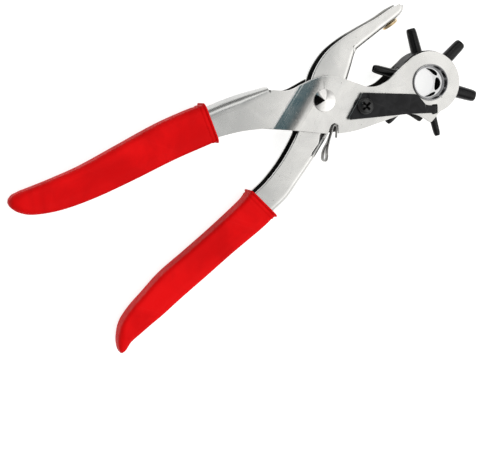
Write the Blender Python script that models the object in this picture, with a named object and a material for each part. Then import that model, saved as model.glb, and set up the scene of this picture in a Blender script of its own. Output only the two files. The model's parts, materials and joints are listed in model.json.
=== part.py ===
"""Rotary leather hole punch: two folded steel levers, a wheel of six punch tubes and an anvil.

All driving dimensions are in millimetres; meshes are scaled to metres as they are made.
The tool lies on its back.  +Z runs along the pivot rivet towards the front, the rivet's axis is
at x = y = 0, the wheel's axle lies on +X, and z = 0 is the flat back of the rivet's back head.
Outlines are drawn in the plane of the tool, and heights count from the tool's middle plane.
"""
import math

import bmesh
import bpy
from mathutils import Matrix, Vector, geometry

MM = 0.001
GAP = 0.3                 # clearance between two pieces that touch on the real tool

# Folded sheet levers
SHEET = 1.6               # thickness of both levers
HANDLE_HALF = 6.0         # half of the punch lever's outer width at its handle
HEAD_HALF = 8.5           # half of its outer width at the head, past the joggle
JOGGLE_RUN = 6.5          # length of the sloping zone between the two widths
ANVIL_HALF = 5.5          # half of the anvil lever's outer width
PUNCH_FOLD_RADIUS = 5.7   # outer radius of the punch lever's fold between web and flange
SHOULDER_RADIUS = 2.6     # the same fold where the web is cut off at the shoulder
SHOULDER_RUN = 14.0       # length over which it tightens
ANVIL_FOLD_RADIUS = 2.4   # outer radius of the anvil lever's fold

# Pivot
RIVET_RADIUS = 4.0
RIVET_HEAD_RADIUS = 5.1
RIVET_HEAD_HEIGHT = 0.9
RUNNING_CLEARANCE = 0.12
WASHER_RADIUS = 6.0
WASHER_THICKNESS = 0.8
MIDDLE = HEAD_HALF + GAP + RIVET_HEAD_HEIGHT      # height of the middle plane above the ground

# Punch wheel
WHEEL_X = 51.0            # pivot axis to wheel axis
EYE_RADIUS = 14.2         # round end of the head plates
HUB_RADIUS = 14.6
HUB_HALF = 6.4
HUB_CHAMFER = 0.7
AXLE_RADIUS = 7.7         # outside of the hollow axle
AXLE_BORE = 6.6
AXLE_LIP_RADIUS = 8.4
AXLE_LIP_HEIGHT = 0.7
WINDOW_RADIUS = 2.8       # the six slug windows in the axle's wall
WINDOW_ANGLE = 105.0
TUBE_TIP = 25.5           # wheel axis to cutting edge
TUBE_FOOT = 9.6           # wheel axis to a tube's inner end
TUBE_HOLE_RADIUS = 3.4    # radial holes in the hub
TUBE_SHANK_RADIUS = 3.1
FIRST_TUBE_ANGLE = 36.3   # direction of the first tube, counter-clockwise from +X
TUBE_BORES = (4.0, 3.5, 3.0, 2.5, 2.0, 4.5)       # hole sizes, counter-clockwise
TUBE_DIAMETERS = (5.3, 4.7, 4.0, 3.6, 3.1, 5.5)   # outside at the tip, in the same order
STEP_ANGLE = 60.0

# Indexing leaf
DIMPLE_RING = 12.2        # wheel axis to the detent dimples
DIMPLE_RADIUS = 1.3
DIMPLE_DEPTH = 0.6
DIMPLE_OFFSET = -21.2     # dimple direction less tube direction, in degrees
LEAF_THICKNESS = 1.1
LEAF_BASE = HEAD_HALF + 2 * GAP + 0.8             # underside of the leaf at its screw
LEAF_DROP = 0.8           # how much lower it runs at the finger
SCREW_X = 17.8
SCREW_Y = -5.5
SCREW_RADIUS = 2.0
SCREW_HEAD_RADIUS = 3.75
SCREW_HEAD_HEIGHT = 2.0
SPACER_RADIUS = 4.6
NUT_WIDTH = 7.0
NUT_HEIGHT = 3.2

# Anvil: the web's outer face where it sits, and the direction it faces
ANVIL_SEAT = (38.06, 29.83)
ANVIL_DIRECTION = -62.6
ANVIL_RADIUS = 4.2
ANVIL_STANDOUT = 1.6
ANVIL_STEM_RADIUS = 1.7

# Vinyl grips
GRIP_WALL = 1.2
COLLAR_WIDTH = 2.8
COLLAR_STANDOUT = 0.9
TANG_END = 6              # the station of its grip that each handle reaches to

# Middle line and half height of each grip, from its mouth to its tip
UPPER_GRIP = ((-52.4, -1.5, 8.65), (-60.5, -3.2, 8.8), (-74.4, -6.7, 8.7), (-94.1, -13.0, 8.25),
              (-111.3, -18.2, 7.6), (-125.5, -21.2, 7.05), (-136.0, -22.3, 6.0), (-141.5, -22.0, 4.9),
              (-145.3, -21.2, 3.1), (-147.0, -20.7, 0.9))
LOWER_GRIP = ((-34.2, -41.2, 7.6), (-40.5, -45.8, 7.4), (-55.6, -54.9, 6.9), (-69.3, -63.1, 6.9),
              (-81.7, -70.4, 6.9), (-91.2, -77.0, 6.3), (-97.9, -81.5, 5.7), (-103.2, -85.8, 4.8),
              (-106.7, -90.2, 3.3), (-108.6, -94.6, 1.7), (-109.2, -96.4, 0.5))

ROUND = 32                # sides of a round hole or shaft


# ---------------------------------------------------------------- curves and outlines

def arc(cx, cy, radius, start, end, steps):
    """Points on a circle from angle start to angle end, in degrees."""
    points = []
    for i in range(steps + 1):
        a = math.radians(start + (end - start) * i / steps)
        points.append((cx + radius * math.cos(a), cy + radius * math.sin(a)))
    return points


def circle(cx, cy, radius, sides=ROUND):
    """A closed ring of points, counter-clockwise."""
    return arc(cx, cy, radius, 0.0, 360.0 * (sides - 1) / sides, sides - 1)


def rounded(corners, turn=15.0):
    """An open outline whose (x, y, radius) corners are replaced by tangent arcs."""
    points = []
    for i, (x, y, radius) in enumerate(corners):
        here = Vector((x, y))
        if radius == 0 or i in (0, len(corners) - 1):
            points.append((x, y))
            continue
        before = (Vector(corners[i - 1][:2]) - here).normalized()
        after = (Vector(corners[i + 1][:2]) - here).normalized()
        half = before.angle(after) / 2
        centre = here + (before + after).normalized() * radius / math.sin(half)
        first = here + before * radius / math.tan(half) - centre
        sweep = math.pi - 2 * half
        if first.cross(here - centre) < 0:
            sweep = -sweep
        steps = max(2, round(abs(math.degrees(sweep)) / turn))
        for k in range(steps + 1):
            spoke = Matrix.Rotation(sweep * k / steps, 2) @ first
            points.append(tuple(centre + spoke))
    return points


def smooth(points, steps):
    """A Catmull-Rom curve through the points, each of any dimension."""
    last = len(points) - 1
    curve = []
    for i in range(last):
        p0 = Vector(points[max(i - 1, 0)])
        p1 = Vector(points[i])
        p2 = Vector(points[i + 1])
        p3 = Vector(points[min(i + 2, last)])
        for k in range(steps):
            t = k / steps
            p = 2 * p1 + (p2 - p0) * t
            p += (2 * p0 - 5 * p1 + 4 * p2 - p3) * t ** 2
            p += (3 * p1 - p0 - 3 * p2 + p3) * t ** 3
            curve.append(tuple(p / 2))
    curve.append(tuple(points[-1]))
    return curve


def left_normals(points):
    """Unit normals to the left of a polyline, at each of its points."""
    normals = []
    for i in range(len(points)):
        a = Vector(points[max(i - 1, 0)])
        b = Vector(points[min(i + 1, len(points) - 1)])
        run = (b - a).normalized()
        normals.append(Vector((-run.y, run.x)))
    return normals


def height_at(points, x):
    """Where a polyline that runs along X passes x."""
    for (ax, ay), (bx, by) in zip(points, points[1:]):
        if ax <= x <= bx:
            return ay + (by - ay) * (x - ax) / (bx - ax)
    raise ValueError("x is off the polyline")


def inside(x, y, loop):
    """True when the point lies in the closed loop."""
    odd = False
    for (ax, ay), (bx, by) in zip(loop, loop[1:] + loop[:1]):
        if (ay > y) != (by > y) and x < ax + (bx - ax) * (y - ay) / (by - ay):
            odd = not odd
    return odd


def triangulate(outline, holes=(), creases=()):
    """Points and triangles that fill an outline, less its holes and split along its creases."""
    points = []
    edges = []
    for loop in (outline, *holes):
        base = len(points)
        points.extend(Vector(p) for p in loop)
        edges.extend((base + i, base + (i + 1) % len(loop)) for i in range(len(loop)))
    for a, b in creases:
        edges.append((len(points), len(points) + 1))
        points.extend((Vector(a), Vector(b)))
    found = geometry.delaunay_2d_cdt(points, edges, [], 0, 1e-5)
    verts = [tuple(v) for v in found[0]]
    kept = []
    for face in found[2]:
        x = sum(verts[i][0] for i in face) / 3
        y = sum(verts[i][1] for i in face) / 3
        if inside(x, y, list(outline)) and not any(inside(x, y, list(h)) for h in holes):
            kept.append(face)
    return verts, kept


# ---------------------------------------------------------------- meshes and objects

def material(name, colour, roughness, metallic):
    """A Principled material."""
    made = bpy.data.materials.new(name)
    made.use_nodes = True
    shader = made.node_tree.nodes["Principled BSDF"]
    shader.inputs["Base Color"].default_value = (*colour, 1.0)
    shader.inputs["Roughness"].default_value = roughness
    shader.inputs["Metallic"].default_value = metallic
    return made


def add_object(name, bm, finish, at=(0.0, 0.0)):
    """Turn a millimetre bmesh into a named object whose origin is on its own axis."""
    bmesh.ops.remove_doubles(bm, verts=bm.verts, dist=1e-4)
    loose = [v for v in bm.verts if not v.link_faces]
    bmesh.ops.delete(bm, geom=loose, context='VERTS')
    bmesh.ops.translate(bm, verts=bm.verts, vec=(-at[0], -at[1], 0.0))
    bmesh.ops.scale(bm, verts=bm.verts, vec=(MM, MM, MM))
    mesh = bpy.data.meshes.new(name)
    bm.to_mesh(mesh)
    bm.free()
    mesh.materials.append(finish)
    mesh.shade_smooth()
    mesh.set_sharp_from_angle(angle=math.radians(35))
    obj = bpy.data.objects.new(name, mesh)
    obj.location = (at[0] * MM, at[1] * MM, MIDDLE * MM)
    bpy.context.collection.objects.link(obj)
    return obj


def fill(bm, loops, close_ends=True):
    """Skin rings of equal length, in order, and cap the two ends."""
    rings = [[bm.verts.new(p) for p in loop] for loop in loops]
    count = len(rings[0])
    for low, high in zip(rings, rings[1:]):
        for i in range(count):
            j = (i + 1) % count
            bm.faces.new((low[i], low[j], high[j], high[i]))
    if close_ends:
        bm.faces.new(list(reversed(rings[0])))
        bm.faces.new(rings[-1])
    return rings


def face_out(bm):
    """Point every face of a closed mesh outwards."""
    bmesh.ops.remove_doubles(bm, verts=bm.verts, dist=1e-4)
    bmesh.ops.recalc_face_normals(bm, faces=bm.faces)


def turned(profile, sides=ROUND, frame=Matrix.Identity(4)):
    """Spin a closed (radius, height) profile round Z, then place it with frame."""
    bm = bmesh.new()
    rings = []
    for r, z in profile:
        rings.append([frame @ Vector((x, y, z)) for x, y in circle(0, 0, r, sides)])
    fill(bm, rings + [rings[0]], close_ends=False)
    face_out(bm)
    return bm


def shaft(profile, sides=ROUND, frame=Matrix.Identity(4)):
    """Spin an open (radius, height) profile round Z and cap it: a solid piece."""
    bm = bmesh.new()
    fill(bm, [[frame @ Vector((x, y, z)) for x, y in circle(0, 0, r, sides)] for r, z in profile])
    face_out(bm)
    return bm


def prism(outline, low, high, holes=()):
    """A flat plate with the given outline and holes."""
    verts, faces = triangulate(outline, holes)
    bm = bmesh.new()
    bottom = [bm.verts.new((x, y, low)) for x, y in verts]
    for a, b, c in faces:
        bm.faces.new((bottom[a], bottom[c], bottom[b]))
    grown = bmesh.ops.extrude_face_region(bm, geom=bm.faces[:], use_keep_orig=True)
    top = [v for v in grown["geom"] if isinstance(v, bmesh.types.BMVert)]
    bmesh.ops.translate(bm, verts=top, vec=(0, 0, high - low))
    face_out(bm)
    return bm


def cutter(name, bm, target, at=(0.0, 0.0)):
    """Subtract a closed mesh from target with an exact Boolean."""
    tool = add_object(name, bm, target.data.materials[0], at)
    tool.hide_render = True
    tool.display_type = 'WIRE'
    cut = target.modifiers.new(name, 'BOOLEAN')
    cut.operation = 'DIFFERENCE'
    cut.solver = 'EXACT'
    cut.object = tool


def axis_frame(x, y, z, degrees):
    """A frame whose Z axis points along a direction in the tool's plane."""
    a = math.radians(degrees)
    along = Vector((math.cos(a), math.sin(a), 0))
    across = Vector((-math.sin(a), math.cos(a), 0))
    up = along.cross(across)
    turn = Matrix((across, up, along)).transposed().to_4x4()
    return Matrix.Translation((x, y, z)) @ turn


# ---------------------------------------------------------------- folded levers

def fold_columns(silhouette, radii, half_width, steps):
    """Columns of points across a folded web, from the front flange round to the back one."""
    rows = []
    for (x, y), normal, radius in zip(silhouette, left_normals(silhouette), radii):
        row = []
        for k in range(steps + 1):
            a = math.radians(90 * k / steps)
            depth = radius * (1 - math.sin(a))
            height = half_width - radius * (1 - math.cos(a))
            row.append((x + normal.x * depth, y + normal.y * depth, height))
        row.extend((px, py, -pz) for px, py, pz in reversed(list(row)))
        rows.append(row)
    return rows


def flange_line(silhouette, radii):
    """Where the flat flange starts behind a folded web."""
    line = []
    for (x, y), normal, radius in zip(silhouette, left_normals(silhouette), radii):
        line.append((x + normal.x * radius, y + normal.y * radius))
    return line


def sheet_lever(flanges, folds, tongues, level):
    """The outer skin of a folded lever.

    flanges -- (sign, outline, holes, creases) of the front and the back flange
    folds   -- rows of web points, whose first and last columns lie on the flanges
    tongues -- rows of web points that reach past a fold, with no flange beside them
    level   -- outer half width of the lever at a point of its flange
    """
    bm = bmesh.new()
    for sign, outline, holes, creases in flanges:
        verts, faces = triangulate(outline, holes, creases)
        made = [bm.verts.new((x, y, sign * level(x, y))) for x, y in verts]
        for face in faces:
            corners = [made[i] for i in face]
            bm.faces.new(corners if sign > 0 else list(reversed(corners)))
    for rows in (*folds, *tongues):
        made = [[bm.verts.new(p) for p in row] for row in rows]
        for near, far in zip(made, made[1:]):
            for k in range(len(near) - 1):
                bm.faces.new((far[k], near[k], near[k + 1], far[k + 1]))
    return bm


def thicken(obj):
    """Give a skin its sheet thickness, inwards from the outer face."""
    solid = obj.modifiers.new("sheet", 'SOLIDIFY')
    solid.thickness = SHEET * MM
    solid.offset = -1.0
    solid.use_even_offset = True
    solid.use_quality_normals = True


def joggle_level(x, y):
    """Outer half width of the punch lever, which widens past a slanting crease."""
    along = Vector(JOGGLE_CREASE[0]) - Vector(JOGGLE_CREASE[1])
    across = Vector((along.y, -along.x)).normalized()
    past = across.dot(Vector((x, y)) - Vector(JOGGLE_CREASE[0]))
    share = min(max(past / JOGGLE_RUN, 0.0), 1.0)
    return HANDLE_HALF + (HEAD_HALF - HANDLE_HALF) * share


# The slanting crease where the punch lever starts to widen, and the one where it is wide
JOGGLE_CREASE = ((-7.7, 10.9), (-27.7, -11.5))
HEAD_CREASE = ((-2.85, 6.58), (-22.85, -15.82))

# The punch lever outside its grip: its web from the cut-off shoulder, and its open lower edge
PUNCH_WEB = ((-24.2, 10.0), (-36.8, 8.9), (-45.5, 7.4))
PUNCH_OPEN_EDGE = ((-40.0, -7.6), (-30.0, -8.0))

# The spring's slot in the front plate: the two ends of its mouth in the lower edge, and its inner end
SLOT_MOUTH = (-0.7, 4.2)
SLOT_END = ((1.2, -11.6), (3.0, -10.8), (4.6, -11.9))

# The slot that the leaf's finger reaches through
FINGER_SLOT = ((49.6, -14.5), (52.3, -14.5), (52.9, -10.3), (50.2, -10.3))


def tang(line, side):
    """One edge of a handle inside its grip, from the mouth inwards."""
    edge = []
    normals = left_normals([p[:2] for p in line])
    for (x, y, half), normal in list(zip(line, normals))[:TANG_END + 1]:
        out = side * (half - GRIP_WALL - GAP)
        edge.append((x + normal.x * out, y + normal.y * out))
    return edge


def punch_web():
    """The whole outer line of the punch lever's web."""
    return smooth(list(PUNCH_WEB) + tang(UPPER_GRIP, -1), 2)


def punch_radii(web):
    """Outer radius of the punch lever's fold along its web."""
    radii = []
    for x, _y in web:
        share = min((PUNCH_WEB[0][0] - x) / SHOULDER_RUN, 1.0)
        radii.append(SHOULDER_RADIUS + (PUNCH_FOLD_RADIUS - SHOULDER_RADIUS) * share)
    return radii


def punch_plate(slotted):
    """The flange of the punch lever; only the front one has the spring's slot."""
    belly = rounded([(-30.0, -8.0, 0), (-17.0, -10.9, 12), (6.5, -17.2, 50), (37.0, -12.0, 16),
                     (43.0, -13.5, 10), (48.6, -18.4, 1.2), (53.4, -14.0, 0)])
    if slotted:
        left, right = SLOT_MOUTH
        before = [p for p in belly if p[0] < left]
        after = [p for p in belly if p[0] > right]
        mouth = [(x, height_at(belly, x)) for x in SLOT_MOUTH]
        belly = before + mouth[:1] + list(SLOT_END) + mouth[1:] + after
    eye = arc(WHEEL_X, 0, EYE_RADIUS, -78, 123, 20)
    crest = rounded([eye[-1] + (0,), (25.5, 0.5, 12), (2.5, 12.4, 20), (-15.0, 6.7, 10),
                     (-22.4, 8.4, 0.8), (-23.4, 7.2, 0)])
    web = punch_web()
    handle = list(reversed(tang(UPPER_GRIP, 1))) + list(PUNCH_OPEN_EDGE)
    outline = smooth(handle, 2)[:-1] + belly[:-1] + eye + crest[1:] + flange_line(web, punch_radii(web))
    holes = [circle(0, 0, RIVET_RADIUS + RUNNING_CLEARANCE),
             circle(WHEEL_X, 0, AXLE_RADIUS + 0.15)]
    if slotted:
        holes.append(circle(SCREW_X, SCREW_Y, SCREW_RADIUS + 0.2, 16))
        holes.append(list(FINGER_SLOT))
    return outline, holes


def build_punch_lever(steel):
    """The lever that carries the wheel: a channel handle that opens out into two head plates."""
    web = punch_web()
    folds = [fold_columns(web, punch_radii(web), HANDLE_HALF, 4)]
    creases = [JOGGLE_CREASE, HEAD_CREASE]
    front, front_holes = punch_plate(slotted=True)
    back, back_holes = punch_plate(slotted=False)
    bm = sheet_lever([(1, front, front_holes, creases), (-1, back, back_holes, creases)],
                     folds, [], joggle_level)
    lever = add_object("punch_lever", bm, steel)
    thicken(lever)
    return lever


# The anvil lever's web below the pivot, and the tongue that carries it on past its flanges
ANVIL_WEB = ((-23.3, -41.3), (-17.9, -36.0), (-8.8, -26.7), (-7.3, -25.1))
ANVIL_TONGUE = ((-7.3, -25.1), (-3.1, -20.3), (0.2, -16.4), (2.0, -13.6))
# The jaw's web, with the radius of its fold, which tightens towards the tip
JAW_WEB = ((11.4, 3.2, 2.4), (13.3, 7.2, 2.4), (16.5, 13.6, 2.4), (18.7, 18.2, 2.4), (19.9, 19.8, 2.4),
           (21.4, 20.9, 2.4), (33.5, 27.4, 2.4), (41.2, 31.5, 2.3), (44.3, 33.8, 2.2), (45.3, 36.4, 2.2))
ANVIL_NECK = ((-8.8, -22.9, 0), (-4.6, -18.6, 3), (-3.6, -14.6, 3), (-1.0, -11.6, 2), (5.5, -10.0, 5),
              (9.9, -4.0, 6), (9.1, 4.0, 0))
ANVIL_OPEN_EDGE = ((43.1, 37.5), (38.4, 36.0), (31.6, 32.9), (21.9, 29.4), (14.1, 26.3), (6.1, 21.8),
                   (0.3, 16.2), (-3.7, 9.9), (-8.0, -1.0), (-13.5, -12.2), (-22.3, -23.5),
                   (-31.0, -31.6))


def build_anvil_lever(steel):
    """The lever between the head plates: channel handle, flat neck at the pivot, curved jaw."""
    handle_web = smooth(list(reversed(tang(LOWER_GRIP, 1))) + list(ANVIL_WEB), 2)
    handle_radii = [ANVIL_FOLD_RADIUS] * len(handle_web)
    jaw = smooth(JAW_WEB, 2)
    jaw_web = [(x, y) for x, y, _r in jaw]
    jaw_radii = [r for _x, _y, r in jaw]
    folds = [fold_columns(handle_web, handle_radii, ANVIL_HALF, 3),
             fold_columns(jaw_web, jaw_radii, ANVIL_HALF, 3)]
    flat = ANVIL_HALF - ANVIL_FOLD_RADIUS
    tongue = [[(x, y, flat), (x, y, -flat)] for x, y in smooth(ANVIL_TONGUE, 2)]
    outline = flange_line(handle_web, handle_radii) + rounded(ANVIL_NECK)
    outline += flange_line(jaw_web, jaw_radii)
    outline += smooth(list(ANVIL_OPEN_EDGE) + tang(LOWER_GRIP, -1), 2)
    holes = [circle(0, 0, RIVET_RADIUS + RUNNING_CLEARANCE)]
    bm = sheet_lever([(1, outline, holes, []), (-1, outline, holes, [])],
                     folds, [tongue], lambda x, y: ANVIL_HALF)
    lever = add_object("anvil_lever", bm, steel)
    thicken(lever)
    seat = axis_frame(*ANVIL_SEAT, 0, ANVIL_DIRECTION)
    hole = ANVIL_STEM_RADIUS + RUNNING_CLEARANCE
    cutter("anvil_hole", shaft([(hole, -4), (hole, 3)], 16, seat), lever)
    return lever


# ---------------------------------------------------------------- pivot

def build_pivot(steel):
    """The pivot rivet and the two spacing washers beside the anvil lever."""
    face = MIDDLE
    under = face - RIVET_HEAD_HEIGHT
    rim = RIVET_HEAD_RADIUS - 0.4
    half = [(RIVET_RADIUS, 0), (RIVET_RADIUS, under), (RIVET_HEAD_RADIUS, under),
            (RIVET_HEAD_RADIUS, face - 0.3), (rim, face)]
    profile = [(r, -z) for r, z in reversed(half[1:])] + half[1:]
    add_object("pivot_rivet", shaft(profile), steel)
    low = ANVIL_HALF + GAP
    for name, sign in (("pivot_washer_front", 1), ("pivot_washer_back", -1)):
        ring = circle(0, 0, RIVET_RADIUS + RUNNING_CLEARANCE)
        ends = sorted((sign * low, sign * (low + WASHER_THICKNESS)))
        add_object(name, prism(circle(0, 0, WASHER_RADIUS), *ends, [ring]), steel)


# ---------------------------------------------------------------- wheel

def build_hub(black):
    """The wheel's drum, with a radial hole for each tube and a dimple for each station."""
    bore = AXLE_RADIUS + 0.15
    rim = HUB_RADIUS - HUB_CHAMFER
    edge = HUB_HALF - HUB_CHAMFER
    profile = [(bore, -HUB_HALF), (rim, -HUB_HALF), (HUB_RADIUS, -edge),
               (HUB_RADIUS, edge), (rim, HUB_HALF), (bore, HUB_HALF)]
    centre = Matrix.Translation((WHEEL_X, 0, 0))
    hub = add_object("wheel_hub", turned(profile, 48, centre), black, (WHEEL_X, 0))
    holes = bmesh.new()
    for station in range(len(TUBE_BORES)):
        angle = FIRST_TUBE_ANGLE + STEP_ANGLE * station
        radial = axis_frame(WHEEL_X, 0, 0, angle)
        hole = shaft([(TUBE_HOLE_RADIUS, 6.9), (TUBE_HOLE_RADIUS, HUB_RADIUS + 1)], 16, radial)
        join(holes, hole)
        a = math.radians(angle + DIMPLE_OFFSET)
        place = Matrix.Translation((WHEEL_X + DIMPLE_RING * math.cos(a), DIMPLE_RING * math.sin(a), 0))
        dimple = [(0.5, HUB_HALF - DIMPLE_DEPTH), (DIMPLE_RADIUS, HUB_HALF), (DIMPLE_RADIUS, HUB_HALF + 1)]
        join(holes, shaft(dimple, 12, place))
    cutter("hub_holes", holes, hub, (WHEEL_X, 0))


def join(bm, other):
    """Add a second mesh's faces to the first and free it."""
    mesh = bpy.data.meshes.new("joined")
    other.to_mesh(mesh)
    other.free()
    bm.from_mesh(mesh)
    bpy.data.meshes.remove(mesh)


def build_tubes(black):
    """Six punch tubes, each with its own bore and a ground cutting edge."""
    for station, (bore, diameter) in enumerate(zip(TUBE_BORES, TUBE_DIAMETERS)):
        radial = axis_frame(WHEEL_X, 0, 0, FIRST_TUBE_ANGLE + STEP_ANGLE * station)
        inner = bore / 2
        outer = diameter / 2
        root = min(outer + 0.25, TUBE_SHANK_RADIUS - 0.1)
        profile = [(inner + 0.2, TUBE_FOOT), (TUBE_SHANK_RADIUS, TUBE_FOOT),
                   (TUBE_SHANK_RADIUS, HUB_RADIUS - 0.3), (root, HUB_RADIUS - 0.3),
                   (outer, TUBE_TIP - 2.0), (outer - 0.12, TUBE_TIP - 0.9), (inner + 0.12, TUBE_TIP),
                   (inner, TUBE_TIP), (inner, TUBE_TIP - 3.0), (inner + 0.2, TUBE_TIP - 3.5)]
        name = f"punch_tube_{bore:.1f}mm".replace(".", "_")
        add_object(name, turned(profile, 16, radial), black, (WHEEL_X, 0))


def build_axle(steel):
    """The hollow axle: flared over the head plates, with a slug window for each station."""
    lip_low = HEAD_HALF + GAP
    lip_top = lip_low + AXLE_LIP_HEIGHT
    flare = [(AXLE_RADIUS, lip_low), (AXLE_LIP_RADIUS, lip_low), (AXLE_LIP_RADIUS, lip_top - 0.3),
             (AXLE_LIP_RADIUS - 0.35, lip_top), (AXLE_BORE + 0.75, lip_top), (AXLE_BORE, lip_low - 1.5)]
    profile = flare + [(r, -z) for r, z in reversed(flare)]
    centre = Matrix.Translation((WHEEL_X, 0, 0))
    axle = add_object("wheel_axle", turned(profile, ROUND, centre), steel, (WHEEL_X, 0))
    windows = bmesh.new()
    for station in range(len(TUBE_BORES)):
        radial = axis_frame(WHEEL_X, 0, 0, WINDOW_ANGLE + STEP_ANGLE * station)
        reach = [(WINDOW_RADIUS, AXLE_BORE - 1.4), (WINDOW_RADIUS, AXLE_RADIUS + 1)]
        join(windows, shaft(reach, 16, radial))
    cutter("axle_windows", windows, axle, (WHEEL_X, 0))


# ---------------------------------------------------------------- indexing leaf

LEAF_OUTLINE = ((50.4, -14.0, 0), (37.5, -12.4, 30), (10.2, -10.1, 1.8), (17.6, 0.7, 0.8),
                (43.4, -4.2, 2.5), (47.0, -9.8, 2.5), (50.9, -10.7, 0))


def leaf_level(x, _y):
    """Top face of the leaf, which runs down a little towards its finger."""
    share = min(max((x - SCREW_X - 6.0) / 24.0, 0.0), 1.0)
    return LEAF_BASE + LEAF_THICKNESS - LEAF_DROP * share


def build_leaf(black):
    """The flat indexing spring, its end bent down through the front plate as a finger."""
    outline = rounded(LEAF_OUTLINE)
    hole = circle(SCREW_X, SCREW_Y, SCREW_RADIUS + 0.2, 16)
    bends = [((x, 4.0), (x, -20.0)) for x in (SCREW_X + 6.0, SCREW_X + 30.0)]
    verts, faces = triangulate(outline, [hole], bends)
    bm = bmesh.new()
    made = [bm.verts.new((x, y, leaf_level(x, y))) for x, y in verts]
    for face in faces:
        bm.faces.new([made[i] for i in face])
    start, end = Vector(outline[0]), Vector(outline[-1])
    out = Vector((end.y - start.y, start.x - end.x)).normalized()
    top = leaf_level(start.x, 0)
    tip = HUB_HALF + GAP
    bend = [(0.0, top), (0.6, top - 0.1), (1.1, top - 0.45), (1.3, top - 1.0), (1.3, tip)]
    rows = [[bm.verts.new((*(end + out * run), z)), bm.verts.new((*(start + out * run), z))]
            for run, z in bend]
    for near, far in zip(rows, rows[1:]):
        bm.faces.new((near[0], near[1], far[1], far[0]))
    leaf = add_object("index_leaf", bm, black, (SCREW_X, SCREW_Y))
    thicken(leaf)
    leaf.modifiers["sheet"].thickness = LEAF_THICKNESS * MM


def build_leaf_fixing(black, steel):
    """Spacer washer, pan-head cross-recess screw and nut that clamp the leaf."""
    at = (SCREW_X, SCREW_Y)
    centre = Matrix.Translation((*at, 0))
    hole = circle(*at, SCREW_RADIUS + 0.2, 16)
    low = HEAD_HALF + GAP
    add_object("index_spacer", prism(circle(*at, SPACER_RADIUS), low, LEAF_BASE - GAP, [hole]), black, at)
    under = LEAF_BASE + LEAF_THICKNESS + GAP
    top = under + SCREW_HEAD_HEIGHT
    inner = HEAD_HALF - SHEET
    profile = [(SCREW_RADIUS - 0.4, inner - NUT_HEIGHT - 0.9), (SCREW_RADIUS, inner - NUT_HEIGHT - 0.4),
               (SCREW_RADIUS, under), (SCREW_HEAD_RADIUS, under)]
    for k in range(5):
        a = math.radians(18 + 72 * k / 4)
        profile.append((1.2 + (SCREW_HEAD_RADIUS - 1.2) * math.cos(a), top - 1.5 * (1 - math.sin(a))))
    screw = add_object("index_screw", shaft(profile, 24, centre), black, at)
    for name, turn in (("recess_a", 0), ("recess_b", 90)):
        slot = bmesh.new()
        frame = centre @ Matrix.Rotation(math.radians(35 + turn), 4, 'Z')
        rings = []
        for z, length, width in ((top - 1.3, 0.9, 0.3), (top + 0.2, 2.2, 0.55)):
            corners = ((-length, -width), (length, -width), (length, width), (-length, width))
            rings.append([frame @ Vector((x, y, z)) for x, y in corners])
        fill(slot, rings)
        face_out(slot)
        cutter(name, slot, screw, at)
    corner = NUT_WIDTH / math.sqrt(3)
    nut = prism(circle(*at, corner, 6), inner - GAP - NUT_HEIGHT, inner - GAP, [hole])
    add_object("index_nut", nut, steel, at)


# ---------------------------------------------------------------- anvil and return spring

def build_anvil(brass):
    """The soft brass pad riveted to the jaw, which the tubes cut against."""
    seat = axis_frame(*ANVIL_SEAT, 0, ANVIL_DIRECTION)
    stem = ANVIL_STEM_RADIUS
    inner = -SHEET - GAP
    profile = [(stem + 0.5, inner - 0.8), (stem + 0.9, inner - 0.3), (stem + 0.9, inner), (stem, inner),
               (stem, GAP), (ANVIL_RADIUS, GAP), (ANVIL_RADIUS, 0.8), (ANVIL_RADIUS - 0.3, 0.9),
               (ANVIL_RADIUS - 0.3, ANVIL_STANDOUT - 0.3), (ANVIL_RADIUS - 0.6, ANVIL_STANDOUT)]
    add_object("anvil_pad", shaft(profile, 24, seat), brass)


SPRING_STRIP = 0.6        # thickness of the return spring
# The spring's route in the plane, with the middle and the half width of the strip across it:
# hook in the front plate's slot, down to the loop, and up to the hook over the tongue
SPRING_ROUTE = ((2.9, -17.6, 8.0, 0.9), (3.4, -15.0, 8.0, 0.9), (3.75, -12.6, 8.0, 0.9),
                (3.0, -11.75, 8.0, 0.9), (2.1, -12.5, 8.0, 0.9), (0.7, -15.6, 8.0, 1.0),
                (-0.6, -18.4, 7.7, 1.4), (-2.0, -22.0, 7.2, 2.0), (-2.6, -25.6, 7.0, 2.1),
                (-3.3, -27.0, 7.0, 2.1), (-4.3, -27.0, 7.0, 2.1), (-4.6, -25.4, 7.0, 2.1),
                (-3.4, -22.4, 6.7, 2.1), (-0.8, -19.5, 5.2, 1.9), (1.2, -17.2, 3.2, 1.7),
                (3.0, -14.6, 2.0, 1.5), (3.0, -12.6, 2.0, 1.5), (1.6, -11.6, 2.0, 1.5),
                (0.1, -12.2, 2.0, 1.2), (-0.9, -13.5, 2.0, 1.0))


def build_spring(steel):
    """The hairpin return spring: flat strip on edge, hooked to both levers."""
    route = smooth(SPRING_ROUTE, 2)
    flat = [p[:2] for p in route]
    rings = []
    for (x, y, middle, half), normal in zip(route, left_normals(flat)):
        side = normal * SPRING_STRIP / 2
        rings.append([(x + side.x, y + side.y, middle - half), (x - side.x, y - side.y, middle - half),
                      (x - side.x, y - side.y, middle + half), (x + side.x, y + side.y, middle + half)])
    bm = bmesh.new()
    fill(bm, rings)
    face_out(bm)
    add_object("return_spring", bm, steel)


# ---------------------------------------------------------------- grips

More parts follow.
